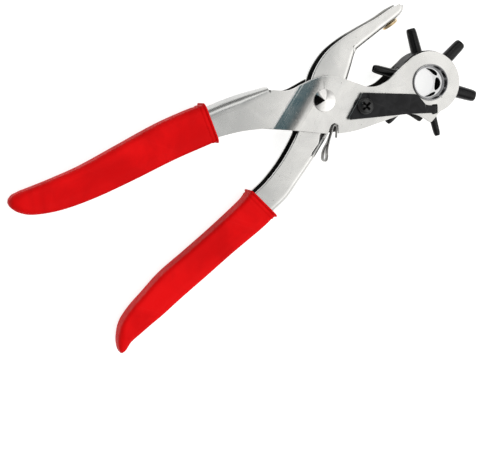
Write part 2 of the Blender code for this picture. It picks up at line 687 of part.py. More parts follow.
def grip_section(x, y, run, half_height, half_width, radius, per_corner):
    """A rounded rectangle across the grip's middle line."""
    corner = min(radius, half_height * 0.9, half_width * 0.9)
    across = Vector((-run.y, run.x))
    ring = []
    for quarter, (h, w) in enumerate(((1, 1), (-1, 1), (-1, -1), (1, -1))):
        for k in range(per_corner + 1):
            a = math.radians(90 * quarter + 90 * k / per_corner)
            up = h * (half_height - corner) + corner * math.cos(a)
            out = w * (half_width - corner) + corner * math.sin(a)
            ring.append((x + across.x * up, y + across.y * up, out))
    return ring


def build_grip(name, line, lever_half, red):
    """A dipped vinyl sleeve: collared mouth, pocket for the handle, closed tip."""
    pocket_half = lever_half + GAP
    grip_half = pocket_half + GRIP_WALL
    steps = 3
    stations = smooth(line, steps)
    mouth = Vector(line[0][:2])
    inwards = (Vector(line[1][:2]) - mouth).normalized()
    half_height = line[0][2]
    rings = []
    for back, standout in ((0.0, COLLAR_STANDOUT), (COLLAR_WIDTH, COLLAR_STANDOUT), (COLLAR_WIDTH + 0.5, 0.0)):
        x, y = mouth + inwards * back
        rings.append(grip_section(x, y, inwards, half_height + standout, grip_half + standout, 3.0, 3))
    count = len(stations)
    full = line[-4][2]
    for i in range(2, count):
        x, y, half = stations[i]
        before = Vector(stations[i - 1][:2])
        after = Vector(stations[min(i + 1, count - 1)][:2])
        share = min(1.0, half / full)
        width = grip_half * math.sqrt(1 - (1 - share) ** 2)
        rings.append(grip_section(x, y, (after - before).normalized(), half, width, 3.0, 3))
    pocket = []
    for i in range(steps * (TANG_END + 1)):
        x, y, half = stations[i]
        before = Vector(stations[max(i - 1, 0)][:2])
        after = Vector(stations[i + 1][:2])
        run = (after - before).normalized()
        pocket.append(grip_section(x, y, run, half - GRIP_WALL, pocket_half, 0.5, 3))
    bm = bmesh.new()
    fill(bm, list(reversed(pocket)) + rings)
    face_out(bm)
    add_object(name, bm, red)


# ---------------------------------------------------------------- the whole tool

def main():
    for old in list(bpy.data.objects):
        bpy.data.objects.remove(old, do_unlink=True)
    nickel = material("nickel_plated_steel", (0.66, 0.66, 0.64), 0.3, 1.0)
    jaw_nickel = material("jaw_nickel_plated_steel", (0.68, 0.68, 0.67), 0.28, 1.0)
    bright = material("bright_turned_steel", (0.74, 0.74, 0.74), 0.2, 1.0)
    spring_steel = material("spring_steel", (0.42, 0.42, 0.41), 0.35, 1.0)
    black = material("blackened_steel", (0.022, 0.022, 0.024), 0.45, 0.6)
    brass = material("brass", (0.78, 0.62, 0.38), 0.3, 1.0)
    red = material("red_vinyl", (0.64, 0.012, 0.016), 0.4, 0.0)
    build_punch_lever(nickel)
    build_anvil_lever(jaw_nickel)
    build_pivot(bright)
    build_hub(black)
    build_tubes(black)
    build_axle(bright)
    build_leaf(black)
    build_leaf_fixing(black, bright)
    build_anvil(brass)
    build_spring(spring_steel)
    build_grip("grip_upper", UPPER_GRIP, HANDLE_HALF, red)
    build_grip("grip_lower", LOWER_GRIP, ANVIL_HALF, red)


main()
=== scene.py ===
"""Looks of a rotary leather hole punch: nickelled sheet levers, black wheel and leaf, red grips.

Every length below is in millimetres and is scaled to metres as a mesh is made.  Outlines lie in the
plane of the tool, and heights count from its middle plane.
"""
import json
import math

import bmesh
import bpy
from mathutils import Matrix, Vector, geometry


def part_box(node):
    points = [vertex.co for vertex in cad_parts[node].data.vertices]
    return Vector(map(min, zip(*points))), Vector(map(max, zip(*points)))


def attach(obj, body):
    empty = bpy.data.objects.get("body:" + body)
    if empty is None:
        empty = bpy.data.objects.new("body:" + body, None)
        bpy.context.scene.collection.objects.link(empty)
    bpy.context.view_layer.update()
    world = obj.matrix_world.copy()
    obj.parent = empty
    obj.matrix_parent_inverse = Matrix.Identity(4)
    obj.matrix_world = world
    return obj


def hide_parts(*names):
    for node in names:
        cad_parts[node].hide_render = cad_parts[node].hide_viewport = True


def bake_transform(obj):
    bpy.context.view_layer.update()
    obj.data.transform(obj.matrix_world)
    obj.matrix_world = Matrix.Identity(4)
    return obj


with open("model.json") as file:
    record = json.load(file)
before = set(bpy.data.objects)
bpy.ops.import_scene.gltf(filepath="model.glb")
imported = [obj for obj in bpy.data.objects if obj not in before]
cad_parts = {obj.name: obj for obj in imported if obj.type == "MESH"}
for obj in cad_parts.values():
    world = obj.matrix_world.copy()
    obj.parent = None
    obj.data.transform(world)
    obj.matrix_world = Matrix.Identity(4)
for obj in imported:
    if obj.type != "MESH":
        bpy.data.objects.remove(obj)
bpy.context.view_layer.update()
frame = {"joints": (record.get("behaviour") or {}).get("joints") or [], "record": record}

MM = 0.001
RECORD = frame["record"]
JOINTS = {joint["name"]: joint for joint in frame["joints"]}
BODY_OF = {node: body for body, nodes in RECORD["behaviour"]["bodies"].items() for node in nodes}


# ---------------------------------------------------------------- places taken from the frame

def box_mm(node):
    """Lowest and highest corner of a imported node, in millimetres."""
    low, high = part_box(node)
    return low / MM, high / MM


def centre_of(node):
    """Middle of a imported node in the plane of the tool."""
    low, high = box_mm(node)
    return (low.x + high.x) / 2, (low.y + high.y) / 2


def half_span(node, axis):
    """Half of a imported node's extent along one axis, in millimetres."""
    low, high = box_mm(node)
    return (high[axis] - low[axis]) / 2


def levels_of(node):
    """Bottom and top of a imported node, counted from the tool's middle plane."""
    low, high = box_mm(node)
    return low.z - MIDDLE, high.z - MIDDLE


MIDDLE = JOINTS["handle_pivot"]["pos_m"][2] / MM
WHEEL_X = JOINTS["wheel_spin"]["pos_m"][0] / MM
SCREW = centre_of("index_screw")
HEAD_HALF = half_span("punch_lever", 2)
ANVIL_HALF = half_span("anvil_lever", 2)
HUB_HALF = half_span("wheel_hub", 2)
HUB_RADIUS = half_span("wheel_hub", 1)
RIVET_HEAD = half_span("pivot_rivet", 0)
AXLE_LIP = half_span("wheel_axle", 0)
AXLE_TOP = levels_of("wheel_axle")[1]
LEAF_TOP = levels_of("index_leaf")[1]
SCREW_TOP = levels_of("index_screw")[1]

# Driving dimensions: sheet, holes, and the wheel's tubes in the order of its stations
SHEET = 1.6
HANDLE_HALF = 6.0
GAP = 0.3
RIVET_BORE = 4.12
AXLE_RADIUS = 7.7
AXLE_HOLE = 7.85
AXLE_BORE = 6.6
SCREW_HOLE = 2.2
TUBE_TIP = 25.5
FIRST_TUBE = 36.3
TUBE_BORES = (4.0, 3.5, 3.0, 2.5, 2.0, 4.5)
TUBE_DIAMETERS = (5.3, 4.7, 4.0, 3.6, 3.1, 5.5)
STEP = 60.0

# The slanting crease where the punch lever starts to widen, how far the widening runs, and its
# straight slope and its fading part as shares of that run
JOGGLE_CREASE = ((-7.7, 10.9), (-27.7, -11.5))
JOGGLE_RUN = 6.5
JOGGLE_STRAIGHT = 0.45
JOGGLE_FADE = 1.05


# ---------------------------------------------------------------- curves and outlines

def arc(cx, cy, radius, start, end, steps):
    """Points on a circle from angle start to angle end, in degrees."""
    points = []
    for i in range(steps + 1):
        a = math.radians(start + (end - start) * i / steps)
        points.append((cx + radius * math.cos(a), cy + radius * math.sin(a)))
    return points


def circle(cx, cy, radius, sides=64):
    """A closed ring of points, counter-clockwise."""
    return arc(cx, cy, radius, 0.0, 360.0 * (sides - 1) / sides, sides - 1)


def rounded(corners, turn=5.0):
    """An open outline whose (x, y, radius) corners are replaced by tangent arcs."""
    points = []
    for i, (x, y, radius) in enumerate(corners):
        here = Vector((x, y))
        if radius == 0 or i in (0, len(corners) - 1):
            points.append((x, y))
            continue
        before = (Vector(corners[i - 1][:2]) - here).normalized()
        after = (Vector(corners[i + 1][:2]) - here).normalized()
        half = before.angle(after) / 2
        centre = here + (before + after).normalized() * radius / math.sin(half)
        first = here + before * radius / math.tan(half) - centre
        sweep = math.pi - 2 * half
        if first.cross(here - centre) < 0:
            sweep = -sweep
        steps = max(2, round(abs(math.degrees(sweep)) / turn))
        for k in range(steps + 1):
            spoke = Matrix.Rotation(sweep * k / steps, 2) @ first
            points.append(tuple(centre + spoke))
    return points


def smooth(points, steps):
    """A Catmull-Rom curve through the points, each of any dimension."""
    last = len(points) - 1
    curve = []
    for i in range(last):
        p0 = Vector(points[max(i - 1, 0)])
        p1 = Vector(points[i])
        p2 = Vector(points[i + 1])
        p3 = Vector(points[min(i + 2, last)])
        for k in range(steps):
            t = k / steps
            p = 2 * p1 + (p2 - p0) * t
            p += (2 * p0 - 5 * p1 + 4 * p2 - p3) * t ** 2
            p += (3 * p1 - p0 - 3 * p2 + p3) * t ** 3
            curve.append(tuple(p / 2))
    curve.append(tuple(points[-1]))
    return curve


def run_at(points, i):
    """Unit direction of a polyline at one of its points, in the plane of the tool."""
    before = Vector(points[max(i - 1, 0)][:2])
    after = Vector(points[min(i + 1, len(points) - 1)][:2])
    return (after - before).normalized()


def left_normals(points):
    """Unit normals to the left of a polyline, at each of its points."""
    runs = [run_at(points, i) for i in range(len(points))]
    return [Vector((-run.y, run.x)) for run in runs]


def height_at(points, x):
    """Where a polyline that runs along X passes x."""
    for (ax, ay), (bx, by) in zip(points, points[1:]):
        if ax <= x <= bx:
            return ay + (by - ay) * (x - ax) / (bx - ax)
    raise ValueError("x is off the polyline")


def winding(loop):
    """Plus one for a counter-clockwise loop, minus one for a clockwise one."""
    doubled_area = sum(ax * by - ay * bx for (ax, ay), (bx, by) in zip(loop, loop[1:] + loop[:1]))
    return math.copysign(1.0, doubled_area)


def inside(x, y, loop):
    """True when the point lies in the closed loop."""
    odd = False
    for (ax, ay), (bx, by) in zip(loop, loop[1:] + loop[:1]):
        if (ay > y) != (by > y) and x < ax + (bx - ax) * (y - ay) / (by - ay):
            odd = not odd
    return odd


def distance_to(point, loop):
    """Shortest distance from a point to a closed loop."""
    best = 1e9
    for a, b in zip(loop, loop[1:] + loop[:1]):
        start = Vector(a)
        run = Vector(b) - start
        share = 0.0
        if run.length_squared > 0:
            share = min(max((point - start).dot(run) / run.length_squared, 0.0), 1.0)
        best = min(best, (point - start - run * share).length)
    return best


def rim_points(loop, distance, spacing=1.8):
    """Points that follow a closed loop at a small distance to its left."""
    found = []
    for a, b in zip(loop, loop[1:] + loop[:1]):
        start = Vector(a)
        run = Vector(b) - start
        if run.length < 1e-6:
            continue
        across = Vector((-run.y, run.x)).normalized() * distance
        parts = max(1, round(run.length / spacing))
        for k in range(parts):
            p = start + run * (k + 0.5) / parts + across
            crowded = found and (p - found[-1]).length < distance * 0.6
            if not crowded and distance_to(p, loop) > abs(distance) * 0.9:
                found.append(p)
    return found


def triangulate(outline, holes=(), creases=(), rim=0.0):
    """Points and triangles that fill an outline, less its holes and split along its creases."""
    points = []
    edges = []
    for loop in (outline, *holes):
        base = len(points)
        points.extend(Vector(p) for p in loop)
        edges.extend((base + i, base + (i + 1) % len(loop)) for i in range(len(loop)))
    for a, b in creases:
        edges.append((len(points), len(points) + 1))
        points.extend((Vector(a), Vector(b)))
    if rim:
        points.extend(rim_points(outline, rim * winding(outline)))
        for hole in holes:
            points.extend(rim_points(hole, -rim * winding(hole)))
    found = geometry.delaunay_2d_cdt(points, edges, [], 0, 1e-5)
    verts = [tuple(v) for v in found[0]]
    kept = []
    for face in found[2]:
        x = sum(verts[i][0] for i in face) / 3
        y = sum(verts[i][1] for i in face) / 3
        if inside(x, y, outline) and not any(inside(x, y, hole) for hole in holes):
            kept.append(face)
    return verts, kept


# ---------------------------------------------------------------- meshes and objects

WELD = 1e-4       # points closer than this are one point
CRISP = 35.0      # folds sharper than this many degrees stay crisp


def make(name, bm, finishes, crisp=CRISP):
    """Turn a millimetre bmesh into a named object whose origin is in the tool's middle plane."""
    bmesh.ops.remove_doubles(bm, verts=bm.verts, dist=WELD)
    loose = [v for v in bm.verts if not v.link_faces]
    bmesh.ops.delete(bm, geom=loose, context='VERTS')
    bmesh.ops.scale(bm, verts=bm.verts, vec=(MM, MM, MM))
    mesh = bpy.data.meshes.new(name)
    bm.to_mesh(mesh)
    bm.free()
    for finish in finishes:
        mesh.materials.append(finish)
    mesh.shade_smooth()
    mesh.set_sharp_from_angle(angle=math.radians(crisp))
    obj = bpy.data.objects.new(name, mesh)
    obj.location.z = MIDDLE * MM
    bpy.context.scene.collection.objects.link(obj)
    return obj


def settle(obj, crisp=CRISP):
    """Apply an object's modifiers and delete the cutters that they used."""
    cutters = [m.object for m in obj.modifiers if m.type == 'BOOLEAN']
    evaluated = obj.evaluated_get(bpy.context.evaluated_depsgraph_get())
    mesh = bpy.data.meshes.new_from_object(evaluated)
    obj.modifiers.clear()
    obj.data = mesh
    mesh.shade_smooth()
    mesh.set_sharp_from_angle(angle=math.radians(crisp))
    for cutter in cutters:
        bpy.data.objects.remove(cutter)
    return obj


def seat(piece, node):
    """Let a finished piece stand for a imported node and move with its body."""
    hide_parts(node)
    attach(piece, BODY_OF[node])


def stand(piece, x, y, degrees):
    """Move a piece that was made along Z to (x, y), pointing along a direction in the plane."""
    piece.matrix_world = axis_frame(x, y, MIDDLE, degrees)
    piece.location = Vector(piece.location) * MM


def face_out(bm):
    """Point every face of a closed mesh outwards."""
    bmesh.ops.remove_doubles(bm, verts=bm.verts, dist=WELD)
    bmesh.ops.recalc_face_normals(bm, faces=bm.faces)


def solid(loops, close_ends=True):
    """A closed mesh skinned over rings of equal length, in order, with its two ends capped."""
    bm = bmesh.new()
    rings = [[bm.verts.new(p) for p in loop] for loop in loops]
    count = len(rings[0])
    for low, high in zip(rings, rings[1:]):
        for i in range(count):
            j = (i + 1) % count
            bm.faces.new((low[i], low[j], high[j], high[i]))
    if close_ends:
        bm.faces.new(list(reversed(rings[0])))
        bm.faces.new(rings[-1])
    face_out(bm)
    return bm


def ring_at(radius, z, sides, place):
    """A ring round Z at a height, then placed."""
    return [place @ Vector((x, y, z)) for x, y in circle(0, 0, radius, sides)]


def turned(profile, sides=64, place=Matrix.Identity(4)):
    """Spin a closed (radius, height) profile round Z, then place it."""
    rings = [ring_at(r, z, sides, place) for r, z in profile]
    return solid(rings + rings[:1], close_ends=False)


def shaft(profile, sides=64, place=Matrix.Identity(4)):
    """Spin an open (radius, height) profile round Z and cap it: a solid piece."""
    return solid([ring_at(r, z, sides, place) for r, z in profile])


def soft_loop(corners, turn=15.0):
    """A closed (radius, height, edge radius) profile with every corner rounded."""
    looped = [corners[-1]] + list(corners) + [corners[0]]
    return rounded(looped, turn)[1:-1]


def prism(outline, low, high, holes=()):
    """A flat plate with the given outline and holes."""
    verts, faces = triangulate(outline, holes)
    bm = bmesh.new()
    bottom = [bm.verts.new((x, y, low)) for x, y in verts]
    for a, b, c in faces:
        bm.faces.new((bottom[a], bottom[c], bottom[b]))
    grown = bmesh.ops.extrude_face_region(bm, geom=bm.faces[:], use_keep_orig=True)
    top = [v for v in grown["geom"] if isinstance(v, bmesh.types.BMVert)]
    bmesh.ops.translate(bm, verts=top, vec=(0, 0, high - low))
    face_out(bm)
    return bm


def join(bm, other):
    """Add a second mesh's faces to the first and free it."""
    mesh = bpy.data.meshes.new("joined")
    other.to_mesh(mesh)
    other.free()
    bm.from_mesh(mesh)
    bpy.data.meshes.remove(mesh)


def cut(target, bm):
    """Subtract a closed mesh from target with an exact Boolean."""
    tool = make(target.name + "_cutter", bm, [target.data.materials[0]])
    step = target.modifiers.new("cut", 'BOOLEAN')
    step.operation = 'DIFFERENCE'
    step.solver = 'EXACT'
    step.object = tool


def break_edges(obj, width, segments=2, angle=40.0):
    """Round off an object's sharp edges by a small width in millimetres."""
    edge = obj.modifiers.new("broken_edges", 'BEVEL')
    edge.width = width * MM
    edge.segments = segments
    edge.limit_method = 'ANGLE'
    edge.angle_limit = math.radians(angle)
    edge.use_clamp_overlap = False
    edge.harden_normals = False
    level = obj.modifiers.new("flat_faces", 'WEIGHTED_NORMAL')
    level.keep_sharp = True
    level.weight = 70


def axis_frame(x, y, z, degrees):
    """A frame whose Z axis points along a direction in the tool's plane."""
    a = math.radians(degrees)
    along = Vector((math.cos(a), math.sin(a), 0))
    across = Vector((-math.sin(a), math.cos(a), 0))
    turn = Matrix((across, along.cross(across), along)).transposed().to_4x4()
    return Matrix.Translation((x, y, z)) @ turn


def joggle_across():
    """Unit direction across the joggle, towards the head."""
    along = Vector(JOGGLE_CREASE[0]) - Vector(JOGGLE_CREASE[1])
    return Vector((along.y, -along.x)).normalized()


# ---------------------------------------------------------------- shader building blocks

def add_node(tree, kind, inputs=None, **settings):
    """Add a shader node, set its properties, and fill or link its inputs."""
    made = tree.nodes.new(kind)
    for key, value in settings.items():
        setattr(made, key, value)
    for key, value in (inputs or {}).items():
        socket = made.inputs[key]
        if isinstance(value, bpy.types.NodeSocket):
            tree.links.new(value, socket)
        else:
            socket.default_value = value
    return made


def maths(tree, operation, first, second=0.0):
    """One arithmetic step."""
    return add_node(tree, 'ShaderNodeMath', {0: first, 1: second}, operation=operation).outputs[0]


def remap(tree, value, low, high, to_low=0.0, to_high=1.0):
    """A smooth step from one range to another."""
    inputs = {"Value": value, "From Min": low, "From Max": high,
              "To Min": to_low, "To Max": to_high}
    step = add_node(tree, 'ShaderNodeMapRange', inputs, interpolation_type='SMOOTHSTEP')
    return step.outputs[0]


def stretch(tree, vector, scale):
    """Stretch coordinates by a different amount along each axis."""
    inputs = {0: vector, 1: scale}
    return add_node(tree, 'ShaderNodeVectorMath', inputs, operation='MULTIPLY').outputs[0]


def dot(tree, vector, direction):
    """How far a vector reaches along a direction."""
    inputs = {0: vector, 1: direction}
    return add_node(tree, 'ShaderNodeVectorMath', inputs, operation='DOT_PRODUCT').outputs["Value"]


def noise_at(tree, vector, scale, detail, **more):
    """Fractal noise at some coordinates."""
    inputs = {"Vector": vector, "Scale": scale, "Detail": detail, **more}
    return add_node(tree, 'ShaderNodeTexNoise', inputs).outputs[0]


def blend_colours(tree, share, first, second):
    """Mix two colours by a share from 0 to 1."""
    inputs = {0: share, 6: first, 7: second}
    return add_node(tree, 'ShaderNodeMix', inputs, data_type='RGBA').outputs[2]


def new_group(name, inputs, outputs):
    """An empty node group with named sockets, and its inner ends."""
    tree = bpy.data.node_groups.new(name, 'ShaderNodeTree')
    for label, default in inputs:
        kind = 'NodeSocketVector' if default is None else 'NodeSocketFloat'
        socket = tree.interface.new_socket(label, in_out='INPUT', socket_type=kind)
        if default is not None:
            socket.default_value = default
    for label in outputs:
        tree.interface.new_socket(label, in_out='OUTPUT', socket_type='NodeSocketFloat')
    return tree, tree.nodes.new('NodeGroupInput').outputs, tree.nodes.new('NodeGroupOutput').inputs


def cloud_group():
    """Slow drifts of tone, as plating and skin show them."""
    tree, given, result = new_group("slow_cloud", [("Vector", None), ("Scale", 60.0)], ["Cloud"])
    noise = noise_at(tree, given[0], given[1], 4.0, Roughness=0.55, Distortion=0.6)
    tree.links.new(remap(tree, noise, 0.3, 0.7), result[0])
    return tree


def wear_group():
    """Bare edges, broken up by fine noise, and the dirt that stays in hollows."""
    tree, given, result = new_group(
        "edge_wear", [("Vector", None), ("Pointiness", 0.5), ("Start", 0.52), ("End", 0.6)],
        ["Worn", "Hollow"])
    noise = noise_at(tree, given[0], 900.0, 3.0)
    uneven = maths(tree, 'MULTIPLY', maths(tree, 'SUBTRACT', noise, 0.5), 0.06)
    edge = maths(tree, 'ADD', given[1], uneven)
    tree.links.new(remap(tree, edge, given[2], given[3]), result[0])
    tree.links.new(remap(tree, edge, 0.48, 0.40), result[1])
    return tree


def grain_group():
    """Faint straight lines left by rolling and polishing the sheet."""
    tree, given, result = new_group(
        "rolled_grain", [("Vector", None), ("Along", 40.0), ("Across", 2500.0)], ["Height"])
    scale = add_node(tree, 'ShaderNodeCombineXYZ', {0: given[1], 1: given[2], 2: given[2]})
    stretched = stretch(tree, given[0], scale.outputs[0])
    tree.links.new(noise_at(tree, stretched, 1.0, 3.0, Roughness=0.6), result[0])
    return tree


def scratch_group():
    """Hairline scratches in three directions."""
    tree, given, result = new_group(
        "hair_scratches", [("Vector", None), ("Scale", 1.0), ("Amount", 0.5)], ["Scratches"])
    masks = []
    for turn, along, across in ((0.5, 25.0, 1500.0), (-0.9, 40.0, 2100.0), (1.9, 30.0, 1800.0)):
        turned_to = add_node(tree, 'ShaderNodeVectorRotate', {"Vector": given[0], "Angle": turn},
                             rotation_type='Z_AXIS')
        stretched = stretch(tree, turned_to.outputs[0], (along, across, across))
        masks.append(remap(tree, noise_at(tree, stretched, given[1], 1.0), 0.70, 0.76))
    every = maths(tree, 'MAXIMUM', maths(tree, 'MAXIMUM', masks[0], masks[1]), masks[2])
    tree.links.new(maths(tree, 'MULTIPLY', every, given[2]), result[0])
    return tree


def lathe_group():
    """Rings that a lathe leaves round the Z axis."""
    tree, given, result = new_group(
        "lathe_rings", [("Vector", None), ("Pitch", 0.0002)], ["Height"])
    parts = add_node(tree, 'ShaderNodeSeparateXYZ', {0: given[0]})
    square = maths(tree, 'ADD', maths(tree, 'MULTIPLY', parts.outputs[0], parts.outputs[0]),
                   maths(tree, 'MULTIPLY', parts.outputs[1], parts.outputs[1]))
    turns = maths(tree, 'DIVIDE', maths(tree, 'SQRT', square), given[1])
    noise = add_node(tree, 'ShaderNodeTexNoise', {"W": turns, "Scale": 1.0, "Detail": 2.0},
                     noise_dimensions='1D')
    tree.links.new(noise.outputs[0], result[0])
    return tree


def pit_group():
    """Small scattered pits and specks."""
    tree, given, result = new_group(
        "small_pits", [("Vector", None), ("Scale", 500.0), ("Share", 0.1)], ["Pits"])
    cells = add_node(tree, 'ShaderNodeTexVoronoi', {"Vector": given[0], "Scale": given[1]})
    spot = remap(tree, cells.outputs["Distance"], 0.26, 0.12)
    chance = add_node(tree, 'ShaderNodeSeparateColor', {0: cells.outputs["Color"]})
    chosen = maths(tree, 'LESS_THAN', chance.outputs[0], given[2])
    tree.links.new(maths(tree, 'MULTIPLY', spot, chosen), result[0])
    return tree


CLOUD = cloud_group()
WEAR = wear_group()
GRAIN = grain_group()
SCRATCHES = scratch_group()
LATHE = lathe_group()
PITS = pit_group()


class Finish:
    """A material under construction: its tree, its shader and the object's own coordinates."""

    def __init__(self, name, metallic, **shader_values):
        self.material = bpy.data.materials.new(name)
        self.material.use_nodes = True
        self.tree = self.material.node_tree
        self.shader = self.tree.nodes["Principled BSDF"]
        self.shader.inputs["Metallic"].default_value = metallic
        for key, value in shader_values.items():
            self.shader.inputs[key.replace("_", " ")].default_value = value
        self.place = self.tree.nodes.new('ShaderNodeTexCoord').outputs["Object"]
        self.pointiness = self.tree.nodes.new('ShaderNodeNewGeometry').outputs["Pointiness"]

    def effect(self, group, output=0, **inputs):
        """Place a shared effect with this material's own values."""
        box = add_node(self.tree, 'ShaderNodeGroup', node_tree=group)
        self.tree.links.new(self.place, box.inputs["Vector"])
        for key, value in inputs.items():
            socket = box.inputs[key]
            if isinstance(value, bpy.types.NodeSocket):
                self.tree.links.new(value, socket)
            else:
                socket.default_value = value
        return box.outputs[output]

    def worn(self, start, end):
        """The bare edges and the dirty hollows of this piece."""
        edge = self.effect(WEAR, Pointiness=self.pointiness, Start=start, End=end)
        return edge, edge.node.outputs[1]

    def mix(self, share, first, second):
        """Mix two colours, each a colour or a socket."""
        colours = [c if isinstance(c, bpy.types.NodeSocket) else (*c, 1.0) for c in (first, second)]
        return blend_colours(self.tree, share, *colours)

    def weigh(self, *terms):
        """Add up sockets, each times its own weight, starting from a plain number."""
        total = terms[0]
        for socket, weight in terms[1:]:
            step = add_node(self.tree, 'ShaderNodeMath', {0: socket, 1: weight, 2: total},
                            operation='MULTIPLY_ADD')
            total = step.outputs[0]
        return total

    def coat(self, colour, *layers):
        """Lay tones over a colour in turn, each by a mask and the share of it that shows."""
        for mask, share, tone in layers:
            colour = self.mix(self.weigh(0.0, (mask, share)), colour, tone)
        return colour

    def finish(self, colour, roughness, height=None, depth=0.02):
        """Link colour, roughness and a height whose full range is depth millimetres."""
        self.tree.links.new(colour, self.shader.inputs["Base Color"])
        self.tree.links.new(roughness, self.shader.inputs["Roughness"])
        if height is not None:
            bump = add_node(self.tree, 'ShaderNodeBump', {"Height": height, "Distance": depth * MM})
            self.tree.links.new(bump.outputs[0], self.shader.inputs["Normal"])
        return self.material


# ---------------------------------------------------------------- finishes

def nickel_sheet():
    """Satin nickel plate over rolled sheet, a little cloudy, made dull by hands on the handle, with
    worn edges, painted shade on the jaw's open side and a painted highlight along the joggle's
    first crease.
    """
    f = Finish("nickel_sheet", 1.0)
    spot = add_node(f.tree, 'ShaderNodeSeparateXYZ', {0: f.place}).outputs
    handled = remap(f.tree, spot[0], -0.014, -0.046)
    low_dull = remap(f.tree, spot[1], -0.010, -0.022)
    # painted shade: the jaw darkens away from its web towards its open side
    off_web = dot(f.tree, f.place, (0.85, -0.5, 0.0))
    jaw_painted_shade = maths(f.tree, 'MULTIPLY', remap(f.tree, off_web, 0.003, -0.006),
                     remap(f.tree, spot[1], 0.004, 0.016))
    # painted highlight: a narrow near-white, rougher line along the joggle's first crease, where
    # the bend catches the light
    across = joggle_across()
    past = dot(f.tree, f.place, (across.x, across.y, 0.0))
    crease = across.dot(Vector(JOGGLE_CREASE[0])) * MM
    near = maths(f.tree, 'ABSOLUTE', maths(f.tree, 'SUBTRACT', past, crease))
    upright = maths(f.tree, 'ABSOLUTE', spot[1])
    crease_highlight = maths(f.tree, 'MULTIPLY', remap(f.tree, near, 0.00045, 0.00020),
                     remap(f.tree, upright, 0.0122, 0.0112))
    cloud = f.effect(CLOUD, Scale=75.0)
    patches = f.effect(CLOUD, Scale=260.0)
    scratches = f.effect(SCRATCHES, Scale=1.0, Amount=0.8)
    pits = f.effect(PITS, Scale=1100.0, Share=0.02)
    grain = f.effect(GRAIN, Along=60.0, Across=2600.0)
    edge, hollow = f.worn(0.54, 0.64)
    # a darker tone on the handle and along the lower edge, plus painted shade on the jaw's open
    # side
    dulled_and_shaded = f.weigh(0.0, (handled, 0.55), (low_dull, 0.12), (jaw_painted_shade, 0.45))
    colour = f.coat(f.mix(cloud, (0.79, 0.783, 0.766), (0.70, 0.697, 0.684)),
                    (patches, 0.35, (0.84, 0.83, 0.80)), (dulled_and_shaded, 1.0, (0.36, 0.37, 0.37)),
                    (pits, 1.0, (0.22, 0.21, 0.20)), (hollow, 0.5, (0.30, 0.28, 0.25)),
                    (edge, 0.6, (0.90, 0.90, 0.88)), (crease_highlight, 1.0, (0.98, 0.98, 0.97)))
    roughness = f.weigh(0.20, (cloud, 0.07), (patches, 0.05), (scratches, 0.10), (pits, 0.25),
                        (edge, -0.05), (crease_highlight, 0.45))
    height = f.weigh(0.0, (grain, 0.10), (patches, 0.25), (scratches, -0.10), (pits, -0.8))
    return f.finish(colour, roughness, height, 0.012)


def shaded_inner_sheet():
    """The same sheet inside a channel: its plating thin and dull, and painted near black as painted
    shade, except in the shallow jaw.
    """
    f = Finish("sheet_inside_painted_shade", 1.0)
    cloud = f.effect(CLOUD, Scale=140.0)
    scratches = f.effect(SCRATCHES, Scale=1.2, Amount=0.5)
    grain = f.effect(GRAIN, Along=80.0, Across=2000.0)
    edge, hollow = f.worn(0.54, 0.64)
    across_jaw = add_node(f.tree, 'ShaderNodeSeparateXYZ', {0: f.place}).outputs[1]
    # where the painted shade stops: the inside of the shallow jaw keeps a plating tone
    unshaded_jaw = remap(f.tree, across_jaw, 0.0245, 0.0295)
    # painted shade: near-black inner faces
    colour = f.coat(f.mix(cloud, (0.085, 0.083, 0.080), (0.040, 0.039, 0.038)),
                    (hollow, 0.6, (0.012, 0.011, 0.010)), (unshaded_jaw, 0.85, (0.66, 0.655, 0.64)),
                    (edge, 0.7, (0.42, 0.41, 0.39)))
    roughness = f.weigh(0.42, (cloud, 0.14), (scratches, -0.08))
    return f.finish(colour, roughness, f.weigh(0.0, (grain, 0.3), (cloud, 0.5)), 0.015)


def bright_turned(name, tone, rough, pitch, depth=0.004):
    """Bright steel turned on a lathe, with ring marks and a few nicks."""
    f = Finish(name, 1.0)
    rings = f.effect(LATHE, Pitch=pitch)
    cloud = f.effect(CLOUD, Scale=300.0)
    scratches = f.effect(SCRATCHES, Scale=1.6, Amount=0.8)
    edge, hollow = f.worn(0.53, 0.62)
    colour = f.coat(f.mix(cloud, tone, tuple(c * 0.86 for c in tone)),
                    (hollow, 0.7, (0.14, 0.13, 0.12)), (edge, 0.5, (0.92, 0.92, 0.90)))
    roughness = f.weigh(rough, (cloud, 0.04), (rings, 0.03), (scratches, 0.12))
    return f.finish(colour, roughness, f.weigh(0.0, (rings, 1.0), (scratches, -0.5)), depth)


def spring_strip():
    """Grey rolled spring strip with darker temper stains."""
    f = Finish("grey_spring_strip", 1.0)
    cloud = f.effect(CLOUD, Scale=420.0)
    grain = f.effect(GRAIN, Along=120.0, Across=3200.0)
    edge, hollow = f.worn(0.53, 0.62)
    colour = f.coat(f.mix(cloud, (0.46, 0.455, 0.44), (0.27, 0.265, 0.26)),
                    (edge, 0.7, (0.78, 0.78, 0.76)), (hollow, 0.5, (0.08, 0.075, 0.07)))
    return f.finish(colour, f.weigh(0.26, (cloud, 0.12), (grain, 0.06)), grain, 0.006)


